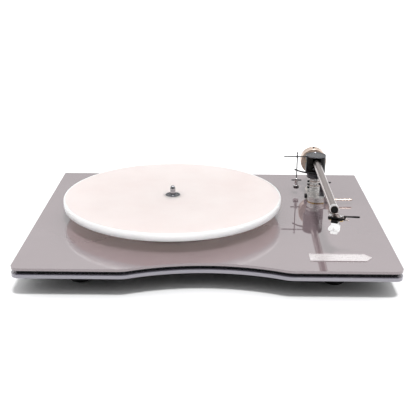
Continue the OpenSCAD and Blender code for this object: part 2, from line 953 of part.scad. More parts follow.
// Straight rod that lies on the headshell and reaches out to the right
module finger_lift() {
    rod_r = 1.2;
    rod_len = 19.2;
    back_turn = 18;
    start = [9.3, -1.3];
    color([0.03, 0.03, 0.03]) at_cartridge() translate([start[0], start[1], shell_top + rod_r])
        rotate([0, 0, back_turn]) along_x(rod_r, 0, rod_len);
}

module cartridge_screws() {
    head_r = 2.4;
    head_t = 2;
    below = 2;
    color([0.85, 0.85, 0.86]) at_cartridge_screws() {
        post(cartridge_screw_r, shell_top - shell_t - ear_t - below, shell_top);
        post(head_r, shell_top, shell_top + head_t);
    }
}

module cartridge_nuts() {
    nut_top = shell_top - shell_t - ear_t;
    nut_r = 2.4;
    nut_h = 1.6;
    color([0.8, 0.62, 0.3]) at_cartridge_screws() difference() {
        translate([0, 0, nut_top - nut_h]) rotate([0, 0, 30]) cylinder(r = nut_r, h = nut_h, $fn = 6);
        post(cartridge_screw_r, nut_top - nut_h - 1, nut_top + 1);
    }
}

module cartridge_mount() {
    top = shell_top - shell_t;
    ear = [17.6, 8.5];
    ear_front = 5;
    mount_len = 16;
    color([0.03, 0.03, 0.03]) difference() {
        at_cartridge() {
            translate([-ear[0] / 2, -ear_front, top - ear_t]) cube([ear[0], ear[1], ear_t]);
            translate([-nose_half, -nose_front, top - mount_t])
                cube([2 * nose_half, mount_len, mount_t]);
        }
        at_cartridge_screws() post(cartridge_screw_r + hole_gap, top - mount_t - 1, top + 1);
    }
}

// White lower body: bevelled flanks that narrow to the back, and a nose below
module cartridge_body() {
    top = shell_top - shell_t - mount_t;
    body_len = 9;
    half = 7.4;
    neck = 3.6;
    shoulder = 2.6;
    slope = 2;
    shoulder_in = 1.6;
    waist_drop = 8.4;
    foot_in = 1.2;
    foot_up = 3.6;
    taper = 12;
    cut = 30;
    flank = [
        [neck, top], [neck, top - shoulder], [half - shoulder_in, top - shoulder - slope],
        [half, top - waist_drop], [half - foot_in, body_bottom + foot_up]
    ];
    mirrored = [for (i = [len(flank) - 1:-1:0]) [-flank[i][0], flank[i][1]]];
    nose = [7.5, 5];
    lip = 1;
    slot = [3, 8, 1.5];
    color([0.96, 0.96, 0.95]) at_cartridge() difference() {
        union() {
            translate([0, body_len - nose_front, 0]) rotate([90, 0, 0])
                linear_extrude(body_len) polygon(concat(flank, mirrored));
            translate([-nose_half, -nose_front, body_bottom]) cube([2 * nose_half, nose[0], nose[1]]);
        }
        for (side = [0, 1]) mirror([side, 0, 0]) translate([half, -nose_front, top - cut])
            rotate([0, 0, taper]) cube([cut, cut, cut]);
        // Opening under the nose for the cantilever
        translate([-slot[0] / 2, lip - nose_front, body_bottom - 1]) cube([slot[0], slot[1], slot[2] + 1]);
    }
}

module stylus() {
    rod_r = 0.4;
    rod_back = 0.5;
    rod_front = 7;
    tip_r = 0.35;
    tip_front = 6.4;
    level = body_bottom + 1;
    color([0.5, 0.5, 0.52]) at_cartridge() {
        translate([0, 0, level]) along_arm(rod_r, rod_back, rod_front);
        translate([0, -tip_front, 0]) post(tip_r, stylus_bottom, level);
    }
}

top_plate();
core_plate();
bottom_plate();
plate_screws();
name_plate();
foot_front_left();
foot_front_right();
foot_back_left();
foot_back_right();
foot_screws();
bearing_housing();
bearing_nut();
thrust_pad();
motor_can();
motor_screws();
drive_belt();
motor_shaft();
motor_pulley();
terminal_box();
phono_sockets();
dc_inlet();
switch_body();
switch_rocker();
platter();
hub_ring();
sub_platter();
spindle_shaft();
arm_base();
arm_nut();
arm_pillar();
pillar_collar();
clamp_screws();
swing_bearings();
cue_block();
lift_cylinder();
lift_plunger();
lift_bar();
cue_lever();
arm_rest();
pivot_housing();
housing_cap();
swing_shaft();
tilt_bearings();
bias_rod();
bias_hanger();
bias_weight();
arm_tube();
tube_collar();
tube_plug();
tilt_axle();
counterweight_stub();
counterweight();
counterweight_screw();
headshell();
finger_lift();
cartridge_screws();
cartridge_nuts();
cartridge_mount();
cartridge_body();
stylus();
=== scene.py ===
import json
import math

import bmesh
import bpy
from mathutils import Matrix, Vector


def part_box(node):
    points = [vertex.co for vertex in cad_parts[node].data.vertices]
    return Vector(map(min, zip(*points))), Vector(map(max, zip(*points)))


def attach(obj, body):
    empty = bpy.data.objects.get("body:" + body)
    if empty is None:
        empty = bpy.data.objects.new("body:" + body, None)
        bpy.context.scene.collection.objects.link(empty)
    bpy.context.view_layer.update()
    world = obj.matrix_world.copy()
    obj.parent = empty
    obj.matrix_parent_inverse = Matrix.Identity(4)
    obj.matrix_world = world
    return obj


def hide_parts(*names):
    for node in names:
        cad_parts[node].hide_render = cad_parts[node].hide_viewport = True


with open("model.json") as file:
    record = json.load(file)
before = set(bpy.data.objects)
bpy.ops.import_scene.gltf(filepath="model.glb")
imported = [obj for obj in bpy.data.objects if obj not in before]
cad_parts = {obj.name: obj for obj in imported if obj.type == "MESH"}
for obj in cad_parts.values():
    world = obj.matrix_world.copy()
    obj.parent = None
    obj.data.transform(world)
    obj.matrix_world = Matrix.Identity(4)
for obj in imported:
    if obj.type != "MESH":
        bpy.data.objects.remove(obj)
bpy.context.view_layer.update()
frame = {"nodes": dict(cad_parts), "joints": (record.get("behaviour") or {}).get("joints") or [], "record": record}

# Shapes below are written in millimetres; MM turns them into Blender's metres.
MM = 0.001
SMOOTH_ANGLE = math.radians(32)
BEVEL_ANGLE = math.radians(38)
FLAT_ANGLE = math.radians(0.5)

# The tonearm as in the CAD: angles in degrees, then sizes in millimetres. The point midway
# between the cartridge's screws is SCREW_MID_ACROSS to the side of the tube's axis.
ARM_TOE = 0.81
ARM_SLOPE = 1.25
OFFSET_ANGLE = 23
SCREW_MID_ACROSS = 1.9
SCREW_DISTANCE = 228.3
SCREW_SPACING = 12.7
TUBE_FRONT = 223
BIAS_X = -27.1
WEIGHT_DROP = 8.4
SHELL_TOP = -6.3
SHELL_THICK = 2.2
MOUNT_THICK = 4.2
EAR_THICK = 1.6

# Radii that more than one piece shares
JOURNAL_R = 5
SPINDLE_NECK_R = 4.2
MOTOR_SHAFT_R = 1.6
STEM_R = 8
SWING_SHAFT_R = 3
SCREW_HOLE_R = 1.35


# ---- Measures taken from the CAD ----

def extent(node):
    """Lowest and highest corner of a CAD node at rest, in millimetres."""
    low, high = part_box(node)
    return low / MM, high / MM


def joint_place(name):
    """A point on a joint's axis, in millimetres."""
    joint = next(j for j in frame["joints"] if j["name"] == name)
    return Vector(joint["pos_m"]) / MM


def half_width(node):
    """Half of a CAD node's width, which is its radius if the node is round."""
    low, high = extent(node)
    return (high.x - low.x) / 2


def heights(node):
    """Bottom and top of a CAD node above the plinth's top."""
    low, high = extent(node)
    return low.z - PLINTH_TOP, high.z - PLINTH_TOP


def shift(x=0.0, y=0.0, z=0.0):
    return Matrix.Translation((x * MM, y * MM, z * MM))


def turn(degrees, axis):
    return Matrix.Rotation(math.radians(degrees), 4, axis)


PLINTH_TOP = extent("top_plate")[1].z
SPINDLE = joint_place("platter_spin")
MOTOR = joint_place("motor_spin")
PIVOT = joint_place("arm_swing")
TILT_HEIGHT = joint_place("arm_tilt").z - PLINTH_TOP

AT_SPINDLE = shift(SPINDLE.x, SPINDLE.y)
AT_MOTOR = shift(MOTOR.x, MOTOR.y)
AT_PIVOT = shift(PIVOT.x, PIVOT.y, PLINTH_TOP)
AT_SWING = AT_PIVOT @ turn(-ARM_TOE, "Z")
AT_ARM = AT_SWING @ shift(z=TILT_HEIGHT) @ turn(-ARM_SLOPE, "X")
AT_CARTRIDGE = AT_ARM @ shift(SCREW_MID_ACROSS, -SCREW_DISTANCE) @ turn(-OFFSET_ANGLE, "Z")
FORWARD = turn(90, "X")
BACKWARD = turn(-90, "X")
RIGHTWARD = turn(90, "Y")


# ---- Materials ----

def linear(red, green, blue):
    """A screen colour, 0 to 255, as linear light."""
    def channel(value):
        value /= 255
        return value / 12.92 if value <= 0.04045 else ((value + 0.055) / 1.055) ** 2.4
    return channel(red), channel(green), channel(blue), 1.0


def add_node(tree, kind, inputs, **settings):
    """Add a shader node and return its outputs.

    inputs gives each input a value or a socket to link, and settings are the node's properties.
    """
    made = tree.nodes.new("ShaderNode" + kind)
    for name, value in settings.items():
        setattr(made, name, value)
    for socket, value in inputs.items():
        if isinstance(value, bpy.types.NodeSocket):
            tree.links.new(value, made.inputs[socket])
        else:
            made.inputs[socket].default_value = value
    return made.outputs


def map_range(tree, value, ends, **settings):
    """The value moved between ranges; ends are from min, from max, to min and to max."""
    names = ("From Min", "From Max", "To Min", "To Max")
    return add_node(tree, "MapRange", {"Value": value, **dict(zip(names, ends))}, **settings)[0]


def position_for(tree, pattern, stretch):
    """Texture position: plain, stretched along an axis, or as rings round the piece's own axis."""
    place = add_node(tree, "TexCoord", {})["Object"]
    if pattern == "turned":
        split = add_node(tree, "SeparateXYZ", {0: place})
        square = add_node(tree, "Math", {0: split["X"], 1: split["X"]}, operation="MULTIPLY")
        both = add_node(tree, "Math", {0: split["Y"], 1: split["Y"], 2: square[0]},
                        operation="MULTIPLY_ADD")
        root = add_node(tree, "Math", {0: both[0]}, operation="SQRT")
        place = add_node(tree, "CombineXYZ", {"X": root[0], "Y": split["Z"]})[0]
    return add_node(tree, "Mapping", {"Scale": stretch, "Vector": place})[0]


def noise(tree, place, scale, detail=4.0):
    inputs = {"Scale": scale, "Detail": detail, "Roughness": 0.55, "Vector": place}
    return add_node(tree, "TexNoise", inputs)["Fac"]


# Noise sits near 0.5, so this middle part of it is spread over the whole of a range.
NOISE_SPAN = (0.3, 0.7)
BUMP_DEPTH = 0.02 * MM


def make_material(name, dark, light, rough, mottle, grain, bump, metallic=0.0,
                  pattern="plain", stretch=(1, 1, 1), **sockets):
    """A Principled material whose colour, roughness and bump all come from noise.

    mottle is the frequency of the colour and gloss variation, and grain that of the bump.
    """
    material = bpy.data.materials.new(name)
    material.use_nodes = True
    tree = material.node_tree
    shader = tree.nodes["Principled BSDF"].inputs
    shader["Metallic"].default_value = metallic
    for socket, value in sockets.items():
        shader[socket.replace("_", " ")].default_value = value
    place = position_for(tree, pattern, stretch)
    broad = map_range(tree, noise(tree, place, mottle), (*NOISE_SPAN, 0.0, 1.0))
    inputs = {"A": linear(*dark), "B": linear(*light), "Factor": broad}
    blend = add_node(tree, "Mix", inputs, data_type="RGBA")
    tree.links.new(blend["Result"], shader["Base Color"])
    gloss = noise(tree, place, mottle * 2.7, detail=6.0)
    tree.links.new(map_range(tree, gloss, (*NOISE_SPAN, *rough)), shader["Roughness"])
    fine = noise(tree, place, grain, detail=3.0)
    relief = add_node(tree, "Bump", {"Strength": bump, "Distance": BUMP_DEPTH, "Height": fine})
    tree.links.new(relief["Normal"], shader["Normal"])
    return material


def paint_rim_glow(material, inner, outer):
    """Blend the colour to white beyond a radius round the piece's own axis, a painted glow for an edge-lit rim."""
    tree = material.node_tree
    colour = tree.nodes["Principled BSDF"].inputs["Base Color"]
    place = add_node(tree, "TexCoord", {})["Object"]
    flat = add_node(tree, "VectorMath", {0: place, 1: (1, 1, 0)}, operation="MULTIPLY")
    reach = add_node(tree, "VectorMath", {0: flat[0]}, operation="LENGTH")["Value"]
    edge = map_range(tree, reach, (inner * MM, outer * MM, 0.0, 1.0))
    inputs = {"A": colour.links[0].from_socket, "B": linear(255, 254, 253), "Factor": edge}
    blend = add_node(tree, "Mix", inputs, data_type="RGBA")
    tree.links.new(blend["Result"], colour)


LACQUER = {"IOR": 1.9, "Coat_Weight": 1.0, "Coat_Roughness": 0.01, "Coat_IOR": 1.5}
FROSTED = {"Subsurface_Weight": 1.0, "Subsurface_Scale": 0.05,
           "Subsurface_Radius": (1.0, 0.95, 0.94)}
TURNED = {"metallic": 1.0, "pattern": "turned"}
# The record's slots: dark and light screen colours, roughness, mottle, grain, bump and the rest
FINISHES = {
    "plinth_upper": ((118, 104, 108), (125, 111, 115), (0.02, 0.05), 9, 40, 0.02, LACQUER),
    "plinth_lower": ((114, 111, 122), (122, 119, 129), (0.06, 0.12), 9, 40, 0.02, LACQUER),
    "core_black": ((10, 10, 16), (20, 20, 30), (0.2, 0.34), 80, 1500, 0.1, {}),
    "frosted_acrylic": ((225, 203, 199), (230, 211, 207), (0.36, 0.46), 14, 2600, 0.12, FROSTED),
    "foot_rubber": ((16, 16, 18), (30, 30, 32), (0.5, 0.7), 60, 2200, 0.3, {}),
    "belt_rubber": ((12, 12, 13), (24, 24, 25), (0.55, 0.75), 60, 3000, 0.3, {}),
    "fastener_steel": ((150, 150, 154), (182, 182, 186), (0.16, 0.3), 700, 4000, 0.1, TURNED),
    "black_steel": ((18, 18, 20), (38, 38, 41), (0.28, 0.42), 200, 3000, 0.15, {"metallic": 0.7}),
    "polished_chrome": ((216, 214, 216), (238, 236, 236), (0.06, 0.16), 90, 2500, 0.03,
                        {"metallic": 1.0}),
    "arm_silver": ((164, 153, 150), (186, 176, 173), (0.16, 0.26), 500, 5000, 0.12,
                   {"metallic": 1.0, "stretch": (1, 1, 0.03)}),
    "gloss_black": ((4, 2, 2), (10, 7, 6), (0.1, 0.2), 60, 700, 0.04,
                    {"Specular_IOR_Level": 0.12}),
    "dark_grey_metal": ((84, 84, 88), (112, 112, 116), (0.2, 0.34), 900, 5000, 0.12, TURNED),
    "bearing_brass": ((186, 146, 74), (214, 176, 98), (0.16, 0.3), 700, 4500, 0.12, TURNED),
    "rose_copper": ((212, 188, 172), (232, 211, 196), (0.16, 0.3), 800, 5000, 0.12,
                    {**TURNED, "metallic": 0.6}),
    "machined_aluminium": ((214, 212, 211), (240, 238, 236), (0.2, 0.34), 900, 5000, 0.15,
                           {**TURNED, "metallic": 0.7}),
    "white_plastic": ((250, 250, 249), (254, 254, 254), (0.2, 0.32), 120, 2600, 0.06, {}),
    "black_plastic": ((9, 9, 10), (18, 18, 20), (0.34, 0.5), 150, 1600, 0.25, {}),
    "thrust_plastic": ((226, 222, 206), (240, 236, 222), (0.34, 0.46), 150, 1800, 0.1, {}),
    "badge_silver": ((226, 220, 221), (244, 238, 239), (0.24, 0.36), 900, 4000, 0.06,
                     {"metallic": 0.7, "stretch": (0.05, 1, 1)}),
}
LOOKS = {name: make_material(name, *row[:-1], **row[-1]) for name, row in FINISHES.items()}
# Near-black matte for the plinth's downward faces: painted shade, which keeps light from bouncing under the plinth
# so the floor shadow there is deeper.
UNDERSIDE_SHADE = make_material(
    "underside_shade", (12, 12, 13), (22, 22, 24), (0.5, 0.7), 30, 1200, 0.2)
# The platter's outer rim is painted white: a painted glow standing in for light caught in the edge of the frosted
# acrylic.
RIM_GLOW_INNER, RIM_GLOW_OUTER = 144.6, 146.6
paint_rim_glow(LOOKS["frosted_acrylic"], RIM_GLOW_INNER, RIM_GLOW_OUTER)


# ---- Outlines and profiles ----

def rounded(points, closed=True, steps=5):
    """Points (x, y) or (x, y, radius); each corner with a radius becomes an arc."""
    count = len(points)
    result = []
    for index, point in enumerate(points):
        radius = point[2] if len(point) > 2 else 0
        corner = Vector(point[:2])
        at_end = not closed and index in (0, count - 1)
        if radius == 0 or at_end:
            result.append(corner)
            continue
        to_before = Vector(points[index - 1][:2]) - corner
        to_after = Vector(points[(index + 1) % count][:2]) - corner
        half = to_before.angle(to_after) / 2
        reach = min(radius / math.tan(half), 0.49 * to_before.length, 0.49 * to_after.length)
        radius = reach * math.tan(half)
        start = corner + to_before.normalized() * reach
        end = corner + to_after.normalized() * reach
        middle = corner + (to_before.normalized() + to_after.normalized()).normalized() * (
            radius / math.sin(half))
        first, last = start - middle, end - middle
        sweep = first.angle_signed(last)
        for step in range(steps + 1):
            spoke = first.copy()
            spoke.rotate(Matrix.Rotation(-sweep * step / steps, 2))
            result.append(middle + spoke)
    return result


def circle(x, y, radius, count=64):
    return [Vector((x + radius * math.cos(math.tau * k / count),
                    y + radius * math.sin(math.tau * k / count))) for k in range(count)]


def hexagon(radius):
    """Radius at each angle of a hexagon whose corners are at the given radius."""
    def at(angle):
        return radius * math.cos(math.pi / 6) / math.cos(angle % (math.pi / 3) - math.pi / 6)
    return at


def clipped_hexagon(radius, limit):
    """A hexagon whose corners are turned down to a circle."""
    corner = hexagon(radius)
    return lambda angle: min(corner(angle), limit)


# ---- Mesh builders: a mesh is a bmesh in millimetres ----

def outward(mesh):
    """The mesh with its faces turned outwards."""
    bmesh.ops.recalc_face_normals(mesh, faces=mesh.faces)
    return mesh


def loft(sections, segments=96, closed=False):
    """Skin over rings; a section is (radius or radius function of the angle, height)."""
    mesh = bmesh.new()
    rings = []
    for radius, height in sections:
        if not callable(radius) and radius < 1e-6:
            rings.append([mesh.verts.new((0, 0, height))])
            continue
        ring = []
        for k in range(segments):
            angle = math.tau * k / segments
            reach = radius(angle) if callable(radius) else radius
            ring.append(mesh.verts.new((reach * math.cos(angle), reach * math.sin(angle), height)))
        rings.append(ring)
    pairs = list(zip(rings, rings[1:]))
    if closed:
        pairs.append((rings[-1], rings[0]))
    for lower, upper in pairs:
        for k in range(segments):
            after = (k + 1) % segments
            if len(lower) == 1:
                mesh.faces.new((lower[0], upper[after], upper[k]))
            elif len(upper) == 1:
                mesh.faces.new((lower[k], lower[after], upper[0]))
            else:
                mesh.faces.new((lower[k], lower[after], upper[after], upper[k]))
    return outward(mesh)


def lathe(profile, segments=96):
    """Turned shape from (radius, height, fillet) points; it is a ring if it stays off the axis."""
    touches_axis = profile[0][0] == 0
    points = rounded(profile, closed=not touches_axis)
    return loft([(p.x, p.y) for p in points], segments, closed=not touches_axis)


def dowel(radius, low, high, segments, soft=(0, 0)):
    """A solid round bar; soft gives the fillet of its low and of its high edge."""
    return lathe([(0, low), (radius, low, soft[0]), (radius, high, soft[1]), (0, high)], segments)


def sleeve(inner, outer, low, high, segments=96, soft=(0, 0)):
    """A ring; soft gives the fillet of its inner and of its outer edges."""
    return lathe([(inner, low, soft[0]), (outer, low, soft[1]), (outer, high, soft[1]),
                  (inner, high, soft[0])], segments)


def drill(radius, low, high, segments=64):
    """A plain cylinder that cuts a round hole."""
    return loft([(0, low), (radius, low), (radius, high), (0, high)], segments)


def slab(outline, low, high, holes=()):
    """A plate with straight walls between two heights."""
    mesh = bmesh.new()
    for loop in (outline, *holes):
        corners = [mesh.verts.new((p.x, p.y, low)) for p in loop]
        for k, corner in enumerate(corners):
            mesh.edges.new((corner, corners[(k + 1) % len(corners)]))
    if holes:
        bmesh.ops.triangle_fill(mesh, use_beauty=True, edges=mesh.edges)
    else:
        mesh.faces.new(mesh.verts)
    lifted = bmesh.ops.extrude_face_region(mesh, geom=mesh.faces[:])
    moved = [item for item in lifted["geom"] if isinstance(item, bmesh.types.BMVert)]
    bmesh.ops.translate(mesh, verts=moved, vec=(0, 0, high - low))
    return outward(mesh)


def box(low, high):
    corners = [(low[0], low[1]), (high[0], low[1]), (high[0], high[1]), (low[0], high[1])]
    return slab([Vector(c) for c in corners], low[2], high[2])


def bevelled(mesh, width, segments=3):
    """The mesh with every sharp edge rounded."""
    sharp = [e for e in mesh.edges if len(e.link_faces) == 2 and e.calc_face_angle() > BEVEL_ANGLE]
    bmesh.ops.bevel(mesh, geom=sharp, offset=width, segments=segments, profile=0.5,
                    affect="EDGES", clamp_overlap=True)
    return outward(mesh)


def swept(path, radii, sides=24):
    """A round rod along points, with its radius at each point and rounded ends."""
    points = [Vector(p) for p in path]
    ahead = [(points[min(k + 1, len(points) - 1)] - points[max(k - 1, 0)]).normalized()
             for k in range(len(points))]
    rings = []
    for cap, order in ((0, (0.0, 0.25, 0.55, 0.8, 0.95)), (-1, (0.95, 0.8, 0.55, 0.25, 0.0))):
        away = -ahead[0] if cap == 0 else ahead[-1]
        end = []
        for share in order:
            inset = math.sqrt(1 - share * share)
            centre = points[cap] - away * radii[cap] * (1 - inset)
            end.append((centre, radii[cap] * share, ahead[cap]))
        rings.append(end)
    body = list(zip(points, radii, ahead))[1:-1]
    sections = rings[0] + body + rings[1]
    mesh = bmesh.new()
    side = sections[0][2].orthogonal().normalized()
    loops = []
    for centre, radius, along in sections:
        side = (side - along * side.dot(along)).normalized()
        other = along.cross(side)
        if radius == 0:
            loops.append([mesh.verts.new(centre)])
            continue
        loops.append([mesh.verts.new(centre + radius * (
            side * math.cos(math.tau * k / sides) + other * math.sin(math.tau * k / sides)))
            for k in range(sides)])
    for lower, upper in zip(loops, loops[1:]):
        for k in range(sides):
            after = (k + 1) % sides
            corners = [lower[k % len(lower)], lower[after % len(lower)],
                       upper[after % len(upper)], upper[k % len(upper)]]
            mesh.faces.new(list(dict.fromkeys(corners)))
    return outward(mesh)


def placed(mesh, matrix):
    """The mesh moved by a matrix in metres, still in millimetres itself."""
    local = matrix.copy()
    local.translation = matrix.translation / MM
    mesh.transform(local)
    return mesh


def mesh_data(name, mesh):
    """The mesh as Blender's own data, with the bmesh freed."""
    data = bpy.data.meshes.new(name)
    mesh.to_mesh(data)
    mesh.free()
    return data


def add_object(name, data):
    made = bpy.data.objects.new(name, data)
    bpy.context.scene.collection.objects.link(made)
    return made


def merged(meshes):
    """Several meshes as one."""
    whole = bmesh.new()
    for mesh in meshes:
        data = mesh_data("part", mesh)
        whole.from_mesh(data)
        bpy.data.meshes.remove(data)
    return whole


def tidy_faces(mesh, weld):
    """Join the vertices closer than weld and drop the edges inside flat faces."""
    bmesh.ops.remove_doubles(mesh, verts=mesh.verts, dist=weld)
    bmesh.ops.dissolve_limit(mesh, angle_limit=FLAT_ANGLE, verts=mesh.verts, edges=mesh.edges)


def carved(mesh, cutters):
    """The mesh less every cutter."""
    target, *tools = [add_object("work", mesh_data("work", m)) for m in (mesh, *cutters)]
    for tool in tools:
        cut = target.modifiers.new("cut", "BOOLEAN")
        cut.operation = "DIFFERENCE"
        cut.solver = "EXACT"
        cut.object = tool
    bpy.context.view_layer.update()
    result = target.evaluated_get(bpy.context.evaluated_depsgraph_get()).to_mesh()
    whole = bmesh.new()
    whole.from_mesh(result)
    for made in (target, *tools):
        bpy.data.objects.remove(made)
    tidy_faces(whole, 1e-4)
    return whole


# ---- Pieces ----

BODY_OF = {node: body for body, nodes in frame["record"]["behaviour"]["bodies"].items()
           for node in nodes}


def piece(name, mesh, node, look, at=None, body=None, underside=None):
    """An object that stands for a CAD node, rides on its body and has a finish.

    A piece that stands for no node is given its body instead.
    """
    bmesh.ops.scale(mesh, vec=(MM, MM, MM), verts=mesh.verts)
    data = mesh_data(name, mesh)
    data.shade_smooth()
    data.set_sharp_from_angle(angle=SMOOTH_ANGLE)
    made = add_object(name, data)
    made.matrix_world = at or Matrix.Identity(4)
    made.modifiers.new("even", "WEIGHTED_NORMAL").keep_sharp = True
    data.materials.append(LOOKS[look])
    if underside:
        data.materials.append(underside)
        for face in data.polygons:
            face.material_index = 1 if face.normal.z < -0.9 else 0
    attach(made, body or BODY_OF[node])
    if node:
        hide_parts(node)


def hex_screw(head_r, head_t, shank_r, length, hex_r, depth, segments=48):
    """Socket screw whose head ends at height 0 and whose shank points down."""
    edge = min(0.35, 0.3 * head_t)
    return loft([
        (0, -depth), (hexagon(hex_r), -depth), (hexagon(hex_r), -edge * 0.6),
        (hexagon(hex_r * 1.1), 0), (head_r - edge, 0), (head_r - edge * 0.3, -edge * 0.3),
        (head_r, -edge), (head_r, -head_t), (shank_r, -head_t), (shank_r, -head_t - length),
        (0, -head_t - length),
    ], segments)


def hex_nut(corner_r, bore_r, low, high, segments=72):
    """Hexagon nut with turned-down corners."""
    flat = corner_r * math.cos(math.pi / 6)
    soft = (corner_r - flat) * 0.6
    limit = flat * 1.01
    return loft([
        (clipped_hexagon(corner_r, limit), low), (hexagon(corner_r), low + soft),
        (hexagon(corner_r), high - soft), (clipped_hexagon(corner_r, limit), high),
        (bore_r + 0.3, high), (bore_r, high - 0.3), (bore_r, low + 0.3), (bore_r + 0.3, low),
    ], segments, closed=True)


def feet_places():
    """The name and the middle of each foot."""
    names = [f"foot_{end}_{side}" for end in ("front", "back") for side in ("left", "right")]
    return [(name, *((extent(name)[0] + extent(name)[1]) / 2).xy) for name in names]


def upward_screws(node, sizes, places):
    """Screws driven in from below; sizes are head radius and height, shank, socket and depth."""
    low, high = extent(node)
    head_r, head_t, shank_r, hex_r, depth = sizes
    return merged([placed(hex_screw(head_r, head_t, shank_r, high.z - low.z - head_t, hex_r, depth),
                          shift(x, y, low.z) @ turn(180, "X")) for x, y in places])


def plate_outline(node, front_r, back_r):
    """Outline of a plinth plate: rounded corners and a shallow scoop along the front edge."""
    low, high = extent(node)
    scoop_r, scoop_depth, edge_soft = 245, 20, 36
    plinth_front = extent("top_plate")[0].y
    inset = low.y - plinth_front
    middle_y = plinth_front - scoop_r + scoop_depth
    radius = scoop_r + inset
    half = math.sqrt(radius ** 2 - (low.y - middle_y) ** 2)
    edge = math.asin(half / radius)
    first_step = 14 / radius
    steps = 40
    arc = [edge] + [(edge - first_step) * (1 - 2 * k / steps) for k in range(steps + 1)] + [-edge]
    scoop = [(-radius * math.sin(a), middle_y + radius * math.cos(a)) for a in arc]
    scoop[0] = (*scoop[0], edge_soft)
    scoop[-1] = (*scoop[-1], edge_soft)
    return rounded([
        (low.x, low.y, front_r), *scoop, (high.x, low.y, front_r),
        (high.x, high.y, back_r), (low.x, high.y, back_r),
    ], steps=10)


def build_plates():
    flange_r = extent("bearing_housing")[1].x - SPINDLE.x
    flange_over = 7.9
    can_hole_r, pulley_hole_r, stem_gap = 18.6, 6, 0.1
    bearing_hole = circle(SPINDLE.x, SPINDLE.y, flange_r - flange_over)
    stem_hole = circle(PIVOT.x, PIVOT.y, STEM_R + stem_gap)
    pulley_hole = circle(MOTOR.x, MOTOR.y, pulley_hole_r)
    can_hole = circle(MOTOR.x, MOTOR.y, can_hole_r)
    plates = (
        ("top_plate", "plinth-upper", "plinth_upper", 10, 2, 0.7, pulley_hole),
        ("core_plate", "plinth-core", "core_black", 5, 1, 0.4, can_hole),
        ("bottom_plate", "plinth-lower", "plinth_lower", 10, 2, 0.7, can_hole),
    )
    for node, name, look, front_r, back_r, edge, motor_hole in plates:
        low, high = extent(node)
        outline = plate_outline(node, front_r, back_r)
        mesh = slab(outline, low.z, high.z, holes=(bearing_hole, stem_hole, motor_hole))
        # The bottom plate's downward faces take the near-black painted shade.
        piece(name, bevelled(mesh, edge), node, look,
              underside=UNDERSIDE_SHADE if node == "bottom_plate" else None)
    places = [(-195, 150), (0, 150), (195, 150), (-195, -90), (195, -90), (0, -145)]
    screws = upward_screws("plate_screws", (3.5, 2, 2, 1.4, 1.2), places)
    piece("plate-screws", screws, "plate_screws", "black_steel")


def build_badge():
    """Blank badge: a raised border round a lower brushed field."""
    low, high = extent("name_plate")
    point, rim = 8, 1.1
    middle = (low.y + high.y) / 2

    def outline(inset):
        left, shoulder = low.x + inset, high.x - point - inset * 0.5
        return rounded([
            (left, low.y + inset, 0.8), (shoulder, low.y + inset, 0.8),
            (high.x - inset * 1.3, middle, 0.6), (shoulder, high.y - inset, 0.8),
            (left, high.y - inset, 0.8),
        ], steps=4)

    border = slab(outline(0), low.z, high.z, holes=(outline(rim),))
    piece("badge-border", bevelled(border, 0.2, 2), "name_plate", "badge_silver")
    field = slab(outline(rim - 0.05), low.z, high.z - 0.3)
    piece("badge-field", field, "name_plate", "badge_silver")
    plug_x, plug_y = 185, 146.7
    plug = dowel(2.4, 0, 0.7, 48, (0, 0.4))
    piece("plinth-plug", plug, None, "black_plastic", shift(plug_x, plug_y, PLINTH_TOP), "plinth")


def build_feet():
    recess_r, recess_top, screw_r = 5.1, 12, 2.5
    groove, first_groove, groove_pitch = 0.7, 9.5, 4.2
    for node, x, y in feet_places():
        top = extent(node)[1].z
        radius = half_width(node)
        profile = [(screw_r, recess_top), (recess_r, recess_top, 0.3), (recess_r, 0, 0.4),
                   (9, 0, 1), (12.6, 1.7, 2), (radius, 6.5, 3)]
        for ring in range(3):
            z = first_groove + ring * groove_pitch
            profile += [(radius, z, 0.3), (radius - groove, z + 0.5, 0.2),
                        (radius - groove, z + 1.1, 0.2), (radius, z + 1.6, 0.3)]
        profile += [(radius, top, 0.8), (screw_r, top)]
        piece(node.replace("_", "-") + "-rubber", lathe(profile), node, "foot_rubber", shift(x, y))
    places = [(x, y) for _, x, y in feet_places()]
    screws = upward_screws("foot_screws", (5, 4, screw_r, 2.4, 2), places)
    piece("foot-bolts", screws, "foot_screws", "fastener_steel")


def build_bearing():
    low, high = extent("bearing_housing")
    floor, barrel_r = 10, 12
    bore = JOURNAL_R + 0.05
    flange_r, flange_low = half_width("bearing_housing"), high.z - 3
    profile = [(0, low.z), (barrel_r - 1, low.z, 0.8), (barrel_r, low.z + 2, 0.8),
               (barrel_r, flange_low), (flange_r, flange_low, 0.4), (flange_r, high.z, 0.8),
               (bore, high.z, 0.3), (bore, floor), (0, floor)]
    piece("bearing-well", lathe(profile), "bearing_housing", "bearing_brass", AT_SPINDLE)
    low, high = extent("bearing_nut")
    nut = hex_nut(17.3, barrel_r + 0.05, low.z, high.z)
    piece("bearing-lock-nut", nut, "bearing_nut", "fastener_steel", AT_SPINDLE)
    low, high = extent("thrust_pad")
    pad = dowel(JOURNAL_R, low.z, high.z, 48, (0.3, 0.3))
    piece("bearing-pad", pad, "thrust_pad", "thrust_plastic", AT_SPINDLE)


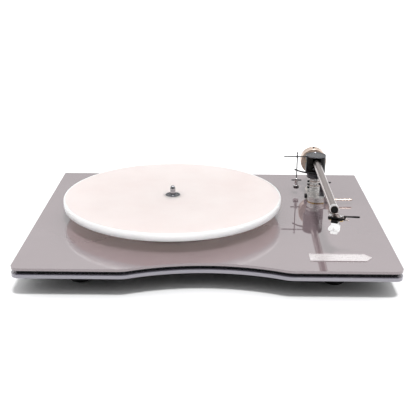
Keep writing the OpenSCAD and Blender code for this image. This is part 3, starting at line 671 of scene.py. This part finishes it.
def build_platter():
    low, high = extent("platter")
    hub, bore, shoulder = 10.2, SPINDLE_NECK_R, low.z
    disc = sleeve(hub, half_width("platter"), low.z, high.z, 360, (0.2, 1.1))
    piece("platter-disc", disc, "platter", "frosted_acrylic", AT_SPINDLE)
    low, high = extent("hub_ring")
    hub_top, groove_low = high.z, high.z - 0.5
    ring = lathe([(bore, low.z), (hub - 0.05, low.z, 0.2), (hub - 0.05, hub_top, 0.5),
                  (8.2, hub_top, 0.2), (7.8, groove_low, 0.2), (5.6, groove_low, 0.2),
                  (5.2, hub_top, 0.2), (bore, hub_top, 0.2)])
    piece("hub-insert", ring, "hub_ring", "dark_grey_metal", AT_SPINDLE)
    low, high = extent("sub_platter")
    land, flange, flange_low = 72, half_width("sub_platter"), high.z - 4
    web_top, web_low, web_in, web_out = high.z - 0.8, low.z + 4, 16, 62
    profile = [(JOURNAL_R, low.z, 0.2), (web_in, low.z, 0.8), (web_in + 2, web_low, 0.8),
               (web_out - 2, web_low, 0.8), (web_out, low.z, 0.8), (land, low.z, 0.5),
               (land, flange_low, 0.3), (flange, flange_low, 0.3), (flange, high.z, 0.4),
               (14, high.z, 0.4), (14, web_top, 0.2), (JOURNAL_R, web_top)]
    piece("sub-platter-wheel", lathe(profile, 192), "sub_platter", "machined_aluminium", AT_SPINDLE)
    low, high = extent("spindle_shaft")
    pin_r, groove_r = 3.6, 3.6 - 0.4
    profile = [(0, low.z), (JOURNAL_R, low.z, 0.4), (JOURNAL_R, shoulder), (bore, shoulder),
               (bore, hub_top, 0.3), (groove_r, hub_top), (groove_r, hub_top + 0.4),
               (pin_r, hub_top + 0.5, 0.2), (pin_r, high.z - 4.2, 3), (2.6, high.z - 1.2, 1.4),
               (1.2, high.z, 0.9), (0, high.z)]
    piece("record-spindle", lathe(profile, 64), "spindle_shaft", "fastener_steel", AT_SPINDLE)


def build_motor():
    low, high = extent("motor_can")
    radius, seam_r = half_width("motor_can"), half_width("motor_can") - 0.6
    shaft_hole, hole_low = MOTOR_SHAFT_R + 0.05, low.z + 12
    profile = [(0, low.z), (6, low.z, 0.4), (6, low.z + 1), (radius - 1.5, low.z + 1, 0.8),
               (radius - 1, low.z + 2.4, 0.6), (radius, low.z + 3, 0.4), (radius, high.z - 4, 0.4),
               (seam_r, high.z - 3.4, 0.2), (seam_r, high.z - 2.6, 0.2), (radius, high.z - 2, 0.4),
               (radius, high.z, 0.5), (shaft_hole, high.z), (shaft_hole, hole_low), (0, hole_low)]
    piece("motor-case", lathe(profile), "motor_can", "fastener_steel", AT_MOTOR)
    top = extent("motor_screws")[1].z
    screws = [placed(hex_screw(2.8, 1.8, 1.45, 5, 1.3, 1.1), shift(x, 0, top))
              for x in (-12.5, 12.5)]
    piece("motor-bolts", merged(screws), "motor_screws", "black_steel", AT_MOTOR)
    low, high = extent("motor_pulley")
    land, fast, lip = 6, half_width("motor_pulley"), 7.5
    bore, belt_gap = MOTOR_SHAFT_R, 0.5
    step = extent("drive_belt")[0].z - belt_gap
    rim = extent("drive_belt")[1].z + belt_gap
    profile = [(bore, low.z, 0.1), (fast, low.z, 0.3), (fast, step, 0.3), (land, step + 0.3, 0.3),
               (land, rim, 0.3), (lip, rim + 0.2, 0.2), (lip, high.z, 0.3), (bore, high.z, 0.2)]
    piece("pulley-wheel", lathe(profile, 96), "motor_pulley", "bearing_brass", AT_MOTOR)
    low, high = extent("motor_shaft")
    shaft = dowel(MOTOR_SHAFT_R, low.z, high.z, 32, (0, 0.4))
    piece("pulley-shaft", shaft, "motor_shaft", "polished_chrome", AT_MOTOR)


def build_terminals():
    low, high = extent("terminal_box")
    outline = rounded([(low.x, low.y, 3), (high.x, low.y, 3), (high.x, high.y, 1),
                       (low.x, high.y, 1)])
    case = bevelled(slab(outline, low.z, high.z), 0.8)
    piece("terminal-case", case, "terminal_box", "black_plastic")
    rib_y = 148
    ribs = [placed(box((-1.2, -14, 0), (1.2, 14, 0.8)), shift(x, rib_y, low.z - 0.5))
            for x in range(46, 100, 6)]
    ribs = merged([bevelled(rib, 0.3, 2) for rib in ribs])
    piece("terminal-ribs", ribs, "terminal_box", "black_plastic")
    low, high = extent("phono_sockets")
    height = (low.z + high.z) / 2
    wall = extent("terminal_box")[1].y
    end = high.y - wall
    outer, flange_r, bore = 4.15, (high.z - low.z) / 2, 1.6
    inner, core_r = outer - 0.7, outer - 0.72
    for side, x, colour in (("left", 50, "white_plastic"), ("right", 70, "black_plastic")):
        at = shift(x, wall, height) @ BACKWARD
        shell = lathe([(inner, -5), (outer, -5), (outer, 0), (flange_r, 0), (flange_r, 1.5, 0.4),
                       (outer, 1.5, 0.2), (outer, end, 0.3), (inner, end, 0.2)], 64)
        piece(f"phono-shell-{side}", shell, "phono_sockets", "bearing_brass", at)
        core = lathe([(bore, -4.9), (core_r, -4.9), (core_r, end - 0.8, 0.2),
                      (bore, end - 0.8, 0.3)], 64)
        piece(f"phono-insulator-{side}", core, "phono_sockets", colour, at)
    low, high = extent("dc_inlet")
    at = shift((low.x + high.x) / 2, wall, (low.z + high.z) / 2) @ BACKWARD
    inlet = lathe([(0, -8), (4.5, -8), (4.5, 0), (6, 0), (6, 2, 0.5), (2.75, 2, 0.3),
                   (2.75, -7), (0, -7)], 64)
    piece("power-jack", inlet, "dc_inlet", "black_plastic", at)
    pin = dowel(1, -7, 0.8, 24, (0, 0.6))
    piece("power-pin", pin, "dc_inlet", "polished_chrome", at)


def softened(node, name, look, width):
    """A copy of a boxy CAD node with its sharp edges rounded."""
    mesh = bmesh.new()
    mesh.from_mesh(frame["nodes"][node].data)
    bmesh.ops.scale(mesh, vec=(1 / MM, 1 / MM, 1 / MM), verts=mesh.verts)
    tidy_faces(mesh, 1e-3)
    piece(name, bevelled(mesh, width, 2), node, look)


def build_switch():
    softened("switch_body", "switch-case", "black_plastic", 0.5)
    softened("switch_rocker", "switch-paddle", "gloss_black", 0.6)


def build_arm_base():
    base_r, reach, height, seam, bore_r = 13.5, 33.5, 8, 1.1, 4.5
    steps = 40
    angles = [math.pi * k / steps for k in range(steps + 1)]
    outline = [Vector((base_r * math.cos(a), base_r * math.sin(a))) for a in angles]
    outline += [Vector((-base_r * math.cos(a), -reach - base_r * math.sin(a))) for a in angles]
    bore = circle(0, 0, bore_r)
    block = bevelled(slab(outline, seam, height, holes=(bore,)), 0.9, 4)
    piece("arm-foot", block, "arm_base", "machined_aluminium", AT_PIVOT)
    sole = bevelled(slab(outline, 0, seam, holes=(bore,)), 0.25, 2)
    piece("arm-foot-sole", sole, "arm_base", "bearing_brass", AT_PIVOT)
    low = heights("arm_base")[0]
    grooves = []
    for ring in range(6):
        z = low + 1.4 + ring * 1.6
        grooves += [(STEM_R, z, 0.1), (STEM_R - 0.5, z + 0.5, 0.1), (STEM_R, z + 1, 0.1)]
    stem = lathe([(bore_r, low, 0.3), (STEM_R, low, 0.5), *grooves, (STEM_R, 0), (bore_r, 0)], 64)
    piece("arm-stem", stem, "arm_base", "machined_aluminium", AT_PIVOT)
    nut = hex_nut(15.5, STEM_R + 0.05, *heights("arm_nut"))
    piece("arm-lock-nut", nut, "arm_nut", "fastener_steel", AT_PIVOT)
    low, high = heights("arm_pillar")
    bore, radius = 6.5, half_width("arm_pillar")
    waist, bead_r = radius - 1.3, radius - 1.3 + 0.9
    beads = [(bore, low), (radius, low, 0.4), (radius, low + 2.2, 0.5)]
    for bead in range(4):
        z = low + 2.8 + bead * 3.2
        beads += [(waist, z, 0.3), (waist, z + 0.6, 0.3), (bead_r, z + 1.1, 0.4),
                  (bead_r, z + 2.4, 0.4)]
    pillar = lathe([*beads, (waist, high - 1.8, 0.3), (radius, high - 1.4, 0.3),
                    (radius, high, 0.5), (bore, high, 0.3)])
    piece("arm-post", pillar, "arm_pillar", "machined_aluminium", AT_PIVOT)
    # Two copper bands on the post: painted reflection, standing in for the gold glints along the polished post.
    bands = [sleeve(waist - 0.2, waist + 0.35, z, z + 0.9, soft=(0, 0.15))
             for z in (low + 5.6, low + 12)]
    piece("arm-post-reflection-bands", merged(bands), "arm_pillar", "rose_copper", AT_PIVOT)
    low, high = heights("pillar_collar")
    bore, radius, middle = 4, half_width("pillar_collar"), (low + high) / 2
    collar = lathe([(bore, low), (radius, low, 0.6), (radius, middle - 0.6, 0.2),
                    (radius - 0.5, middle, 0.2), (radius, middle + 0.6, 0.2), (radius, high, 0.6),
                    (bore, high, 0.3)])
    piece("post-collar", collar, "pillar_collar", "dark_grey_metal", AT_PIVOT)
    screws = [placed(hex_screw(1.7, 1.1, 1.6, 0.6, 0.85, 0.7, 36),
                     turn(around, "Z") @ shift(z=z) @ RIGHTWARD @ shift(z=11.7))
              for around, z in ((205, 10.8), (205, 15.4), (205, 20), (309, 17))]

    def knurled(angle):
        """Radius of the clamp knob's grip, in 24 fine waves."""
        return 3.2 * (1 + 0.035 * math.cos(24 * angle))

    knob = loft([(0, -0.1), (3, -0.1), (knurled, 0.5), (knurled, 2.8), (2.7, 3.4), (0, 3.4)], 144)
    screws.append(placed(knob, shift(-base_r, -25, 4.6) @ turn(-90, "Y")))
    piece("arm-set-screws", merged(screws), "clamp_screws", "black_steel", AT_PIVOT)


def build_cueing():
    softened("cue_block", "cue-bracket", "polished_chrome", 0.5)
    low, high = extent("lift_cylinder")
    centre = (low + high) / 2
    at = shift(centre.x, centre.y, PLINTH_TOP)
    radius, rod_r = half_width("lift_cylinder"), 1.6
    (bottom, top), bore = heights("lift_cylinder"), rod_r + 0.05
    cylinder = lathe([(0, bottom), (radius, bottom, 0.3), (radius, top - 4.4, 0.3),
                      (radius - 0.4, top - 4, 0.2), (radius - 0.4, top - 3.4, 0.2),
                      (radius, top - 3, 0.3), (radius, top, 0.6), (bore, top, 0.2),
                      (bore, bottom + 2), (0, bottom + 2)], 64)
    piece("lift-barrel", cylinder, "lift_cylinder", "dark_grey_metal", at)
    bottom, bar_z = heights("lift_plunger")
    plunger = dowel(rod_r, bottom, bar_z, 48, (0.2, 0.3))
    piece("lift-rod", plunger, "lift_plunger", "polished_chrome", at)
    arc_r, bar_r, start, end = 35, 1, -13, 62
    steps = 48
    angles = [math.radians(start + (end - start) * k / steps) for k in range(steps + 1)]
    path = [(-arc_r * math.sin(a), -arc_r * math.cos(a), bar_z) for a in angles]
    # The middle of the bar wears a thin sleeve
    radii = [bar_r + (0.18 if 0.2 < k / steps < 0.7 else 0) for k in range(steps + 1)]
    ball = [(0, -1.3), (0.5, -1.2), (0.92, -0.92), (1.2, -0.5), (1.3, 0), (1.2, 0.5),
            (0.92, 0.92), (0.5, 1.2), (0, 1.3)]
    tip = placed(lathe(ball, 32), shift(*path[-1]))
    bar = merged([swept(path, radii), tip])
    piece("lift-arc", bar, "lift_bar", "black_steel", AT_PIVOT)
    high = extent("cue_lever")[1]
    axis = joint_place("cue_lever_turn")
    lever_r, boss_r, half_boss = 1.3, 2.8, 1.8
    rod_y = PIVOT.y - 45.3
    at = shift(axis.x, 0, axis.z)
    boss_low, boss_high = -rod_y - half_boss, -rod_y + half_boss
    hub = placed(lathe([(0, -high.y), (2, -high.y), (2, boss_low), (boss_r, boss_low, 0.4),
                        (boss_r, boss_high, 0.5), (1.2, boss_high), (0, boss_high)], 64), FORWARD)
    length = high.x - axis.x
    path = [(length * share, rod_y, 0) for share in (0, 0.5, 0.72, 0.8, 1)]
    rod = swept(path, [lever_r * share for share in (0.85, 0.85, 0.85, 1, 1)])
    piece("cue-handle-rod", merged([hub, rod]), "cue_lever", "rose_copper", at)


def build_arm_rest():
    low, high = extent("arm_rest")
    width = high.y - low.y
    centre_y = (low.y + high.y) / 2 - PIVOT.y
    seat_top, seat_low, stop_top = 44.9, 43, high.z - PLINTH_TOP
    left, right = low.x - PIVOT.x, high.x - PIVOT.x
    stop_in, stop_out, post_x, post_top = 5.4, 7.6, 7.5, seat_low + 0.2
    cradle = rounded([(left, seat_low, 0.6), (right, seat_low, 0.6), (right, seat_top, 0.6),
                      (stop_out, seat_top, 0.5), (stop_out, stop_top, 0.9),
                      (stop_in, stop_top, 0.9), (stop_in, seat_top, 0.6), (left, seat_top, 0.6)])
    seat = placed(bevelled(slab(cradle, -width / 2, width / 2), 0.35), shift(0, centre_y) @ FORWARD)
    bottom = low.z - PLINTH_TOP
    post = placed(lathe([(0, bottom), (1.8, bottom, 0.2), (1.8, seat_low - 6, 0.3),
                         (1.5, seat_low - 5.6, 0.2), (1.5, post_top), (0, post_top)], 48),
                  shift(post_x, centre_y))
    piece("arm-rest-cradle", merged([seat, post]), "arm_rest", "dark_grey_metal", AT_PIVOT)


def build_yoke():
    bottom, top = heights("pivot_housing")
    radius, wall, floor = 14.5, 2.3, 36
    inner = radius - wall
    cup = lathe([(SWING_SHAFT_R, bottom), (radius, bottom, 0.5), (radius, top), (inner, top),
                 (inner, floor), (SWING_SHAFT_R, floor)], 128)
    slot_r, slot_z, back_r, back_low = 5.8, TILT_HEIGHT + 0.3, 4.6, TILT_HEIGHT - 2.1
    past = radius + 2
    cutters = [
        placed(drill(slot_r, 5, past), shift(z=slot_z) @ FORWARD),
        box((-slot_r, -radius - 2, slot_z), (slot_r, -5, top + 1)),
        placed(drill(back_r, 5, past), shift(z=TILT_HEIGHT) @ BACKWARD),
        placed(drill(back_r, 5, past), shift(z=back_low) @ BACKWARD),
        box((-back_r, 5, back_low), (back_r, past, TILT_HEIGHT)),
        placed(drill(3, -20, 20, 48), shift(z=TILT_HEIGHT) @ RIGHTWARD),
    ]
    piece("yoke-drum", bevelled(carved(cup, cutters), 0.3, 2), "pivot_housing", "gloss_black",
          AT_SWING)
    bottom, top = heights("housing_cap")
    cap = lathe([(0, bottom), (radius, bottom, 0.2), (radius, top, 0.4), (radius - 1.4, top, 0.3),
                 (radius - 1.8, top - 0.5, 0.2), (0, top - 0.5)], 128)
    piece("yoke-cap", cap, "housing_cap", "dark_grey_metal", AT_SWING)
    race = [(1.55, 11.8), (3, 11.8, 0.2), (3, 14.2, 0.4), (2.1, 14.2, 0.2), (2.0, 13.9, 0.1),
            (1.55, 13.9, 0.1)]
    races = [placed(lathe(race, 48), turn(side, "Z") @ shift(z=TILT_HEIGHT) @ RIGHTWARD)
             for side in (0, 180)]
    piece("yoke-races", merged(races), "tilt_bearings", "bearing_brass", AT_SWING)
    shaft = dowel(SWING_SHAFT_R, *heights("swing_shaft"), 48, (0.4, 0.3))
    piece("yoke-shaft", shaft, "swing_shaft", "polished_chrome", AT_SWING)
    races = [sleeve(SWING_SHAFT_R + 0.05, 6.5, z, z + 4, 64, (0, 0.3)) for z in (9, 20.5)]
    piece("post-races", merged(races), "swing_bearings", "fastener_steel", AT_PIVOT)
    bias_y, bias_z, wire_r = -2.2, 56.8, 0.7
    rod = swept([(x, bias_y, bias_z) for x in (-12.6, -20, -30, -46.6)], [0.8] * 4)
    piece("bias-outrigger", rod, "bias_rod", "black_steel", AT_SWING)
    at = AT_SWING @ shift(BIAS_X, bias_y)
    wire = dowel(wire_r, 22, bias_z - 1.6, 24)
    upper = lathe([(0, bias_z + 1.6), (wire_r, bias_z + 1.6), (wire_r, 61.6), (1.1, 61.6, 0.2),
                   (1.1, 63.2, 0.5), (0, 63.2)], 24)
    eye = placed(sleeve(0.85, 2, -1, 1, 48, (0.2, 0.4)), shift(z=bias_z) @ RIGHTWARD)
    piece("bias-wire", merged([wire, upper, eye]), "bias_hanger", "black_steel", at)
    weight = lathe([(0, 8.5), (4, 8.5, 0.6), (4, 13.5, 0.6), (2.6, 13.9, 0.4), (2.6, 24, 0.8),
                    (wire_r, 24, 0.1), (wire_r, 22), (0, 22)], 64)
    piece("bias-mass", weight, "bias_weight", "polished_chrome", at)
    bar = placed(swept([(x, 0, 0) for x in (-7.5, -3, 3, 7.5)], [0.9] * 4), shift(z=21))
    ring = sleeve(3.6, 4, 9, 13, 64, (0.2, 0.2))
    piece("bias-trim", merged([bar, ring]), "bias_weight", "black_steel", at)


def build_tube():
    tube_r, bore_r, stub_r, back, front = 5.2, 4.1, 4, -9, TUBE_FRONT
    tube = lathe([(bore_r, back), (tube_r, back, 0.2), (tube_r, front, 0.3),
                  (bore_r, front, 0.2)], 96)
    piece("arm-barrel", tube, "arm_tube", "arm_silver", AT_ARM @ FORWARD)
    inner, groove_r, ridge_r = tube_r + 0.01, tube_r + 0.15, tube_r + 0.4
    band = lathe([(inner, 217, 0.05), (ridge_r, 217, 0.15), (ridge_r, 218.5, 0.15),
                  (groove_r, 218.8, 0.05), (groove_r, 221, 0.05), (ridge_r, 221.3, 0.15),
                  (ridge_r, front, 0.15), (inner, front, 0.05)], 96)
    band = carved(band, [box((-10, -18, 210), (10, -tube_r + 0.4, 230))])
    piece("arm-clamp-band", band, "tube_collar", "polished_chrome", AT_ARM @ FORWARD)
    plug_r, rim_r, face = bore_r - 0.02, 4.5, front + 0.5
    plug = lathe([(0, 218), (plug_r, 218), (plug_r, front), (rim_r, front, 0.1),
                  (rim_r, face, 0.2), (3.2, face, 0.1), (3, 223.2, 0.1), (0, 223.2)], 64)
    piece("arm-end-plug", plug, "tube_plug", "gloss_black", AT_ARM @ FORWARD)
    axle = placed(dowel(1.5, -13.9, 13.9, 32, (0.3, 0.3)), RIGHTWARD)
    piece("tilt-pin", axle, "tilt_axle", "polished_chrome", AT_SWING @ shift(z=TILT_HEIGHT))
    threads = []
    for ring in range(12):
        z = -54.6 + ring * 1.0
        threads += [(stub_r, z, 0.05), (stub_r - 0.3, z + 0.35, 0.05), (stub_r, z + 0.7, 0.05)]
    stub = lathe([(0, -56), (stub_r, -56, 0.5), *threads, (stub_r, -4, 0.3), (0, -4)], 64)
    piece("rear-stub", stub, "counterweight_stub", "machined_aluminium", AT_ARM @ FORWARD)


def build_counterweight():
    radius, thick, back = 19, 16, 35
    front = -back + thick / 2
    rear = front - thick
    groove_r = radius - 1.2
    profile = [(0, rear), (15.5, rear), (15.9, rear + 0.3), (radius, rear + 0.3, 0.9),
               (radius, rear + 3, 0.25), (groove_r, rear + 3, 0.2), (groove_r, rear + 4.2, 0.2),
               (radius, rear + 4.2, 0.25), (radius, front, 1.2), (9.4, front, 0.3),
               (9.2, front - 0.3, 0.1), (0, front - 0.3)]
    bore = placed(drill(4.06, -50, -20), shift(y=WEIGHT_DROP))
    screw_hole = placed(drill(1.7, 0, 30, 32), shift(y=WEIGHT_DROP, z=-back) @ BACKWARD)
    weight = carved(lathe(profile, 160), [bore, screw_hole])
    at = AT_ARM @ shift(z=-WEIGHT_DROP) @ FORWARD
    piece("tail-weight", weight, "counterweight", "rose_copper", at)
    top = radius - WEIGHT_DROP + 1
    screw = placed(hex_screw(1.6, 1.4, 1.6, top - 1.4 - 4.2, 0.9, 0.8, 36), shift(0, back, top))
    piece("tail-weight-screw", screw, "counterweight_screw", "black_steel", AT_ARM)


SCREW_SIDES = (-SCREW_SPACING / 2, SCREW_SPACING / 2)


def screw_holes():
    """The two holes that the cartridge's screws go through."""
    return [circle(u, 0, SCREW_HOLE_R, 32) for u in SCREW_SIDES]


def build_headshell():
    shell_top, shell_t, left, right, ahead = SHELL_TOP, SHELL_THICK, -8.8, 12.6, 5.5
    turned_by = math.radians(OFFSET_ANGLE)

    def from_arm(x, y):
        """A point in the arm's plan, in the cartridge's."""
        x, y = x - SCREW_MID_ACROSS, y + SCREW_DISTANCE
        return (x * math.cos(turned_by) - y * math.sin(turned_by),
                x * math.sin(turned_by) + y * math.cos(turned_by))

    neck_half, neck_front, neck_len, shoulder = 5.5, -TUBE_FRONT, 17, 9
    right_front = from_arm(neck_half, neck_front)
    right_back = from_arm(neck_half, neck_front + neck_len)
    left_back = from_arm(-neck_half, neck_front + neck_len)
    left_front = from_arm(-neck_half, neck_front)
    share = (shoulder - right_front[1]) / (right_back[1] - right_front[1])
    joint_x = right_front[0] + share * (right_back[0] - right_front[0])
    lip = 1
    front = lip - ahead
    outline = rounded([(left, front), (right, front), (right, 2, 2), (5, shoulder, 2),
                       (joint_x, shoulder, 3), (*right_back, 1), (*left_back, 1), (left, 5, 3)])
    plate = bevelled(slab(outline, shell_top - shell_t, shell_top, screw_holes()), 0.45)
    saddle_outline = [Vector(corner) for corner in (right_front, right_back, left_back, left_front)]
    saddle = bevelled(slab(saddle_outline, shell_top - 0.5, -5.2), 0.3)
    tab = placed(dowel(1, -1, 4.5, 32, (0, 0.8)),
                 shift(right, -ahead + 1, shell_top - 1) @ turn(10, "Y") @ RIGHTWARD)
    piece("headshell-plate", merged([plate, saddle, tab]), "headshell", "arm_silver", AT_CARTRIDGE)
    # A black strip along the headshell's front edge: painted shade and dark reflection on the plate's front face.
    shade_strip = rounded([(left, front), (left, -ahead, 0.4), (right, -ahead, 0.4), (right, front)])
    shade_strip = bevelled(slab(shade_strip, shell_top - shell_t, shell_top), 0.25, 2)
    piece("headshell-shade-lip", shade_strip, "headshell", "gloss_black", AT_CARTRIDGE)
    reach, grip_r = 19.2, 1.2
    turn_back = turn(18, "Z")
    path = [turn_back @ Vector((reach * k / 12, 0, 0)) for k in range(13)]
    radii = [grip_r - 0.15 * math.sin(math.pi * min(k / 9, 1)) for k in range(13)]
    handle = placed(swept(path, radii), shift(9.3, -1.3, shell_top + grip_r))
    piece("finger-grip", handle, "finger_lift", "gloss_black", AT_CARTRIDGE)
    ear_t, below = EAR_THICK, 2
    screws, nuts = [], []
    for u in SCREW_SIDES:
        head = hex_screw(2.4, 2, 1.25, shell_t + ear_t + below, 1.2, 1.1)
        screws.append(placed(head, shift(u, 0, shell_top + 2)))
        nut_top = shell_top - shell_t - ear_t
        nuts.append(placed(hex_nut(2.4, 1.25, nut_top - 1.6, nut_top, 48), shift(u)))
    piece("headshell-screws", merged(screws), "cartridge_screws", "polished_chrome", AT_CARTRIDGE)
    piece("headshell-nuts", merged(nuts), "cartridge_nuts", "bearing_brass", AT_CARTRIDGE)


def build_cartridge():
    top = SHELL_TOP - SHELL_THICK
    mount_low = top - MOUNT_THICK
    nose_half, nose_front, length, bottom = 4.2, 8.5, 9, -26.3
    mount_back = 7.5
    ear_plan = rounded([(-8.8, -5, 1), (8.8, -5, 1), (8.8, 3.5, 1), (-8.8, 3.5, 1)])
    core_plan = rounded([(-nose_half, -nose_front, 1), (nose_half, -nose_front, 1),
                         (nose_half, mount_back, 1), (-nose_half, mount_back, 1)])
    mount = merged([bevelled(slab(ear_plan, top - EAR_THICK, top, screw_holes()), 0.3, 2),
                    bevelled(slab(core_plan, mount_low, top - 0.05), 0.35, 2)])
    piece("cartridge-bridge", mount, "cartridge_mount", "gloss_black", AT_CARTRIDGE)
    half, neck, shoulder, taper = 7.4, 3.6, 2.6, math.tan(math.radians(12))
    flank = [(neck, mount_low), (neck, mount_low - shoulder, 0.8),
             (half - 1.6, mount_low - shoulder - 2, 1), (half, mount_low - 8.4, 1.2),
             (half - 1.2, bottom + 3.6, 1)]
    face = rounded(flank + [(-p[0], *p[1:]) for p in reversed(flank)])
    body = placed(slab(face, nose_front - length, nose_front), FORWARD)
    back = length - nose_front
    trim = [Vector(corner) for corner in (
        (half + taper, -nose_front - 1), (half + 9, -nose_front - 1), (half + 9, back + 1),
        (half - (length + 1) * taper, back + 1))]
    mirrored = [Vector((-corner.x, corner.y)) for corner in reversed(trim)]
    body = carved(body, [slab(outline, bottom - 5, mount_low + 5) for outline in (trim, mirrored)])
    nose = carved(box((-nose_half, -nose_front, bottom), (nose_half, 7.5 - nose_front, bottom + 5)),
                  [box((-1.5, 1 - nose_front, bottom - 1), (1.5, 9 - nose_front, bottom + 1.5))])
    piece("cartridge-shell", merged([bevelled(body, 0.5), bevelled(nose, 0.35, 2)]),
          "cartridge_body", "white_plastic", AT_CARTRIDGE)
    dot = placed(dowel(1.5, -0.3, 0.25, 32, (0, 0.15)),
                 shift(0, -nose_front, mount_low - 7) @ FORWARD)
    piece("cartridge-dot", dot, "cartridge_body", "machined_aluminium", AT_CARTRIDGE)
    pins = [placed(dowel(0.55, -0.5, 3.6, 20, (0, 0.3)),
                   shift(u, length - nose_front, mount_low - z) @ BACKWARD)
            for u, z in ((-2.2, 4.5), (2.2, 4.5), (-2.2, 8), (2.2, 8))]
    piece("cartridge-pins", merged(pins), "cartridge_body", "bearing_brass", AT_CARTRIDGE)
    tip_low = -27.2
    rod = swept([(0, -0.5, bottom + 1.1), (0, -3.5, bottom + 1.05), (0, -7, bottom + 1)],
                [0.4, 0.36, 0.3], 16)
    tip = placed(lathe([(0, tip_low), (0.12, tip_low + 0.05), (0.35, tip_low + 0.9),
                        (0.35, bottom + 1), (0, bottom + 1)], 16), shift(0, -6.4))
    piece("stylus-cantilever", merged([rod, tip]), "stylus", "machined_aluminium", AT_CARTRIDGE)


# ---- Stage ----

def place_camera():
    camera = bpy.data.cameras.new("camera")
    camera.sensor_fit = "HORIZONTAL"
    camera.angle = math.radians(28.84)
    place, heading, downward, roll = (0.00928, -1.0413, 0.4215), 0.544, 19.804, 0.317
    camera.clip_start = 0.01
    camera.clip_end = 100
    holder = add_object("camera", camera)
    holder.matrix_world = (Matrix.Translation(place) @ turn(heading, "Z")
                           @ turn(90 - downward, "X") @ turn(roll, "Z"))
    bpy.context.scene.camera = holder


def build_studio():
    """White surroundings that darken towards the room in front, and one soft high light."""
    world = bpy.data.worlds.new("studio")
    world.use_nodes = True
    tree = world.node_tree
    split = add_node(tree, "SeparateXYZ", {0: add_node(tree, "TexCoord", {})["Generated"]})
    # Y + 0.9 Z: low in front and below, high behind and above
    height = add_node(tree, "Math", {0: split["Z"], 1: 0.9, 2: split["Y"]},
                      operation="MULTIPLY_ADD")
    ramp = map_range(tree, height[0], (-0.75, 0.15, 0.04, 1.0), interpolation_type="SMOOTHSTEP")
    lift = map_range(tree, split["Z"], (0.25, 0.42, 0.58, 1.04))
    both = add_node(tree, "Math", {0: ramp, 1: lift}, operation="MULTIPLY")
    background = tree.nodes["Background"].inputs
    tree.links.new(both[0], background["Strength"])
    background["Color"].default_value = (1, 1, 1, 1)
    bpy.context.scene.world = world
    lamp = bpy.data.lights.new("high-light", "SUN")
    lamp.energy = 2.2
    lamp.angle = math.radians(9)
    add_object("high-light", lamp).rotation_euler = (math.radians(20), math.radians(6), 0)


def build_stage():
    # Metres: wide enough for its edge to stay out of view from low angles
    half = 90
    data = bpy.data.meshes.new("floor")
    data.from_pydata([(-half, -half, 0), (half, -half, 0), (half, half, 0), (-half, half, 0)], [],
                     [(0, 1, 2, 3)])
    data.materials.append(make_material(
        "floor", (240, 240, 241), (246, 246, 247), (0.6, 0.8), 2, 60, 0.02))
    floor = add_object("floor", data)
    build_studio()
    bpy.context.scene.view_settings.view_transform = "Standard"


place_camera()
build_plates()
build_badge()
build_feet()
build_bearing()
build_platter()
build_motor()
build_terminals()
build_switch()
build_arm_base()
build_cueing()
build_arm_rest()
build_yoke()
build_tube()
build_counterweight()
build_headshell()
build_cartridge()
belt = frame["nodes"]["drive_belt"].data
belt.materials.clear()
belt.materials.append(LOOKS["belt_rubber"])
build_stage()
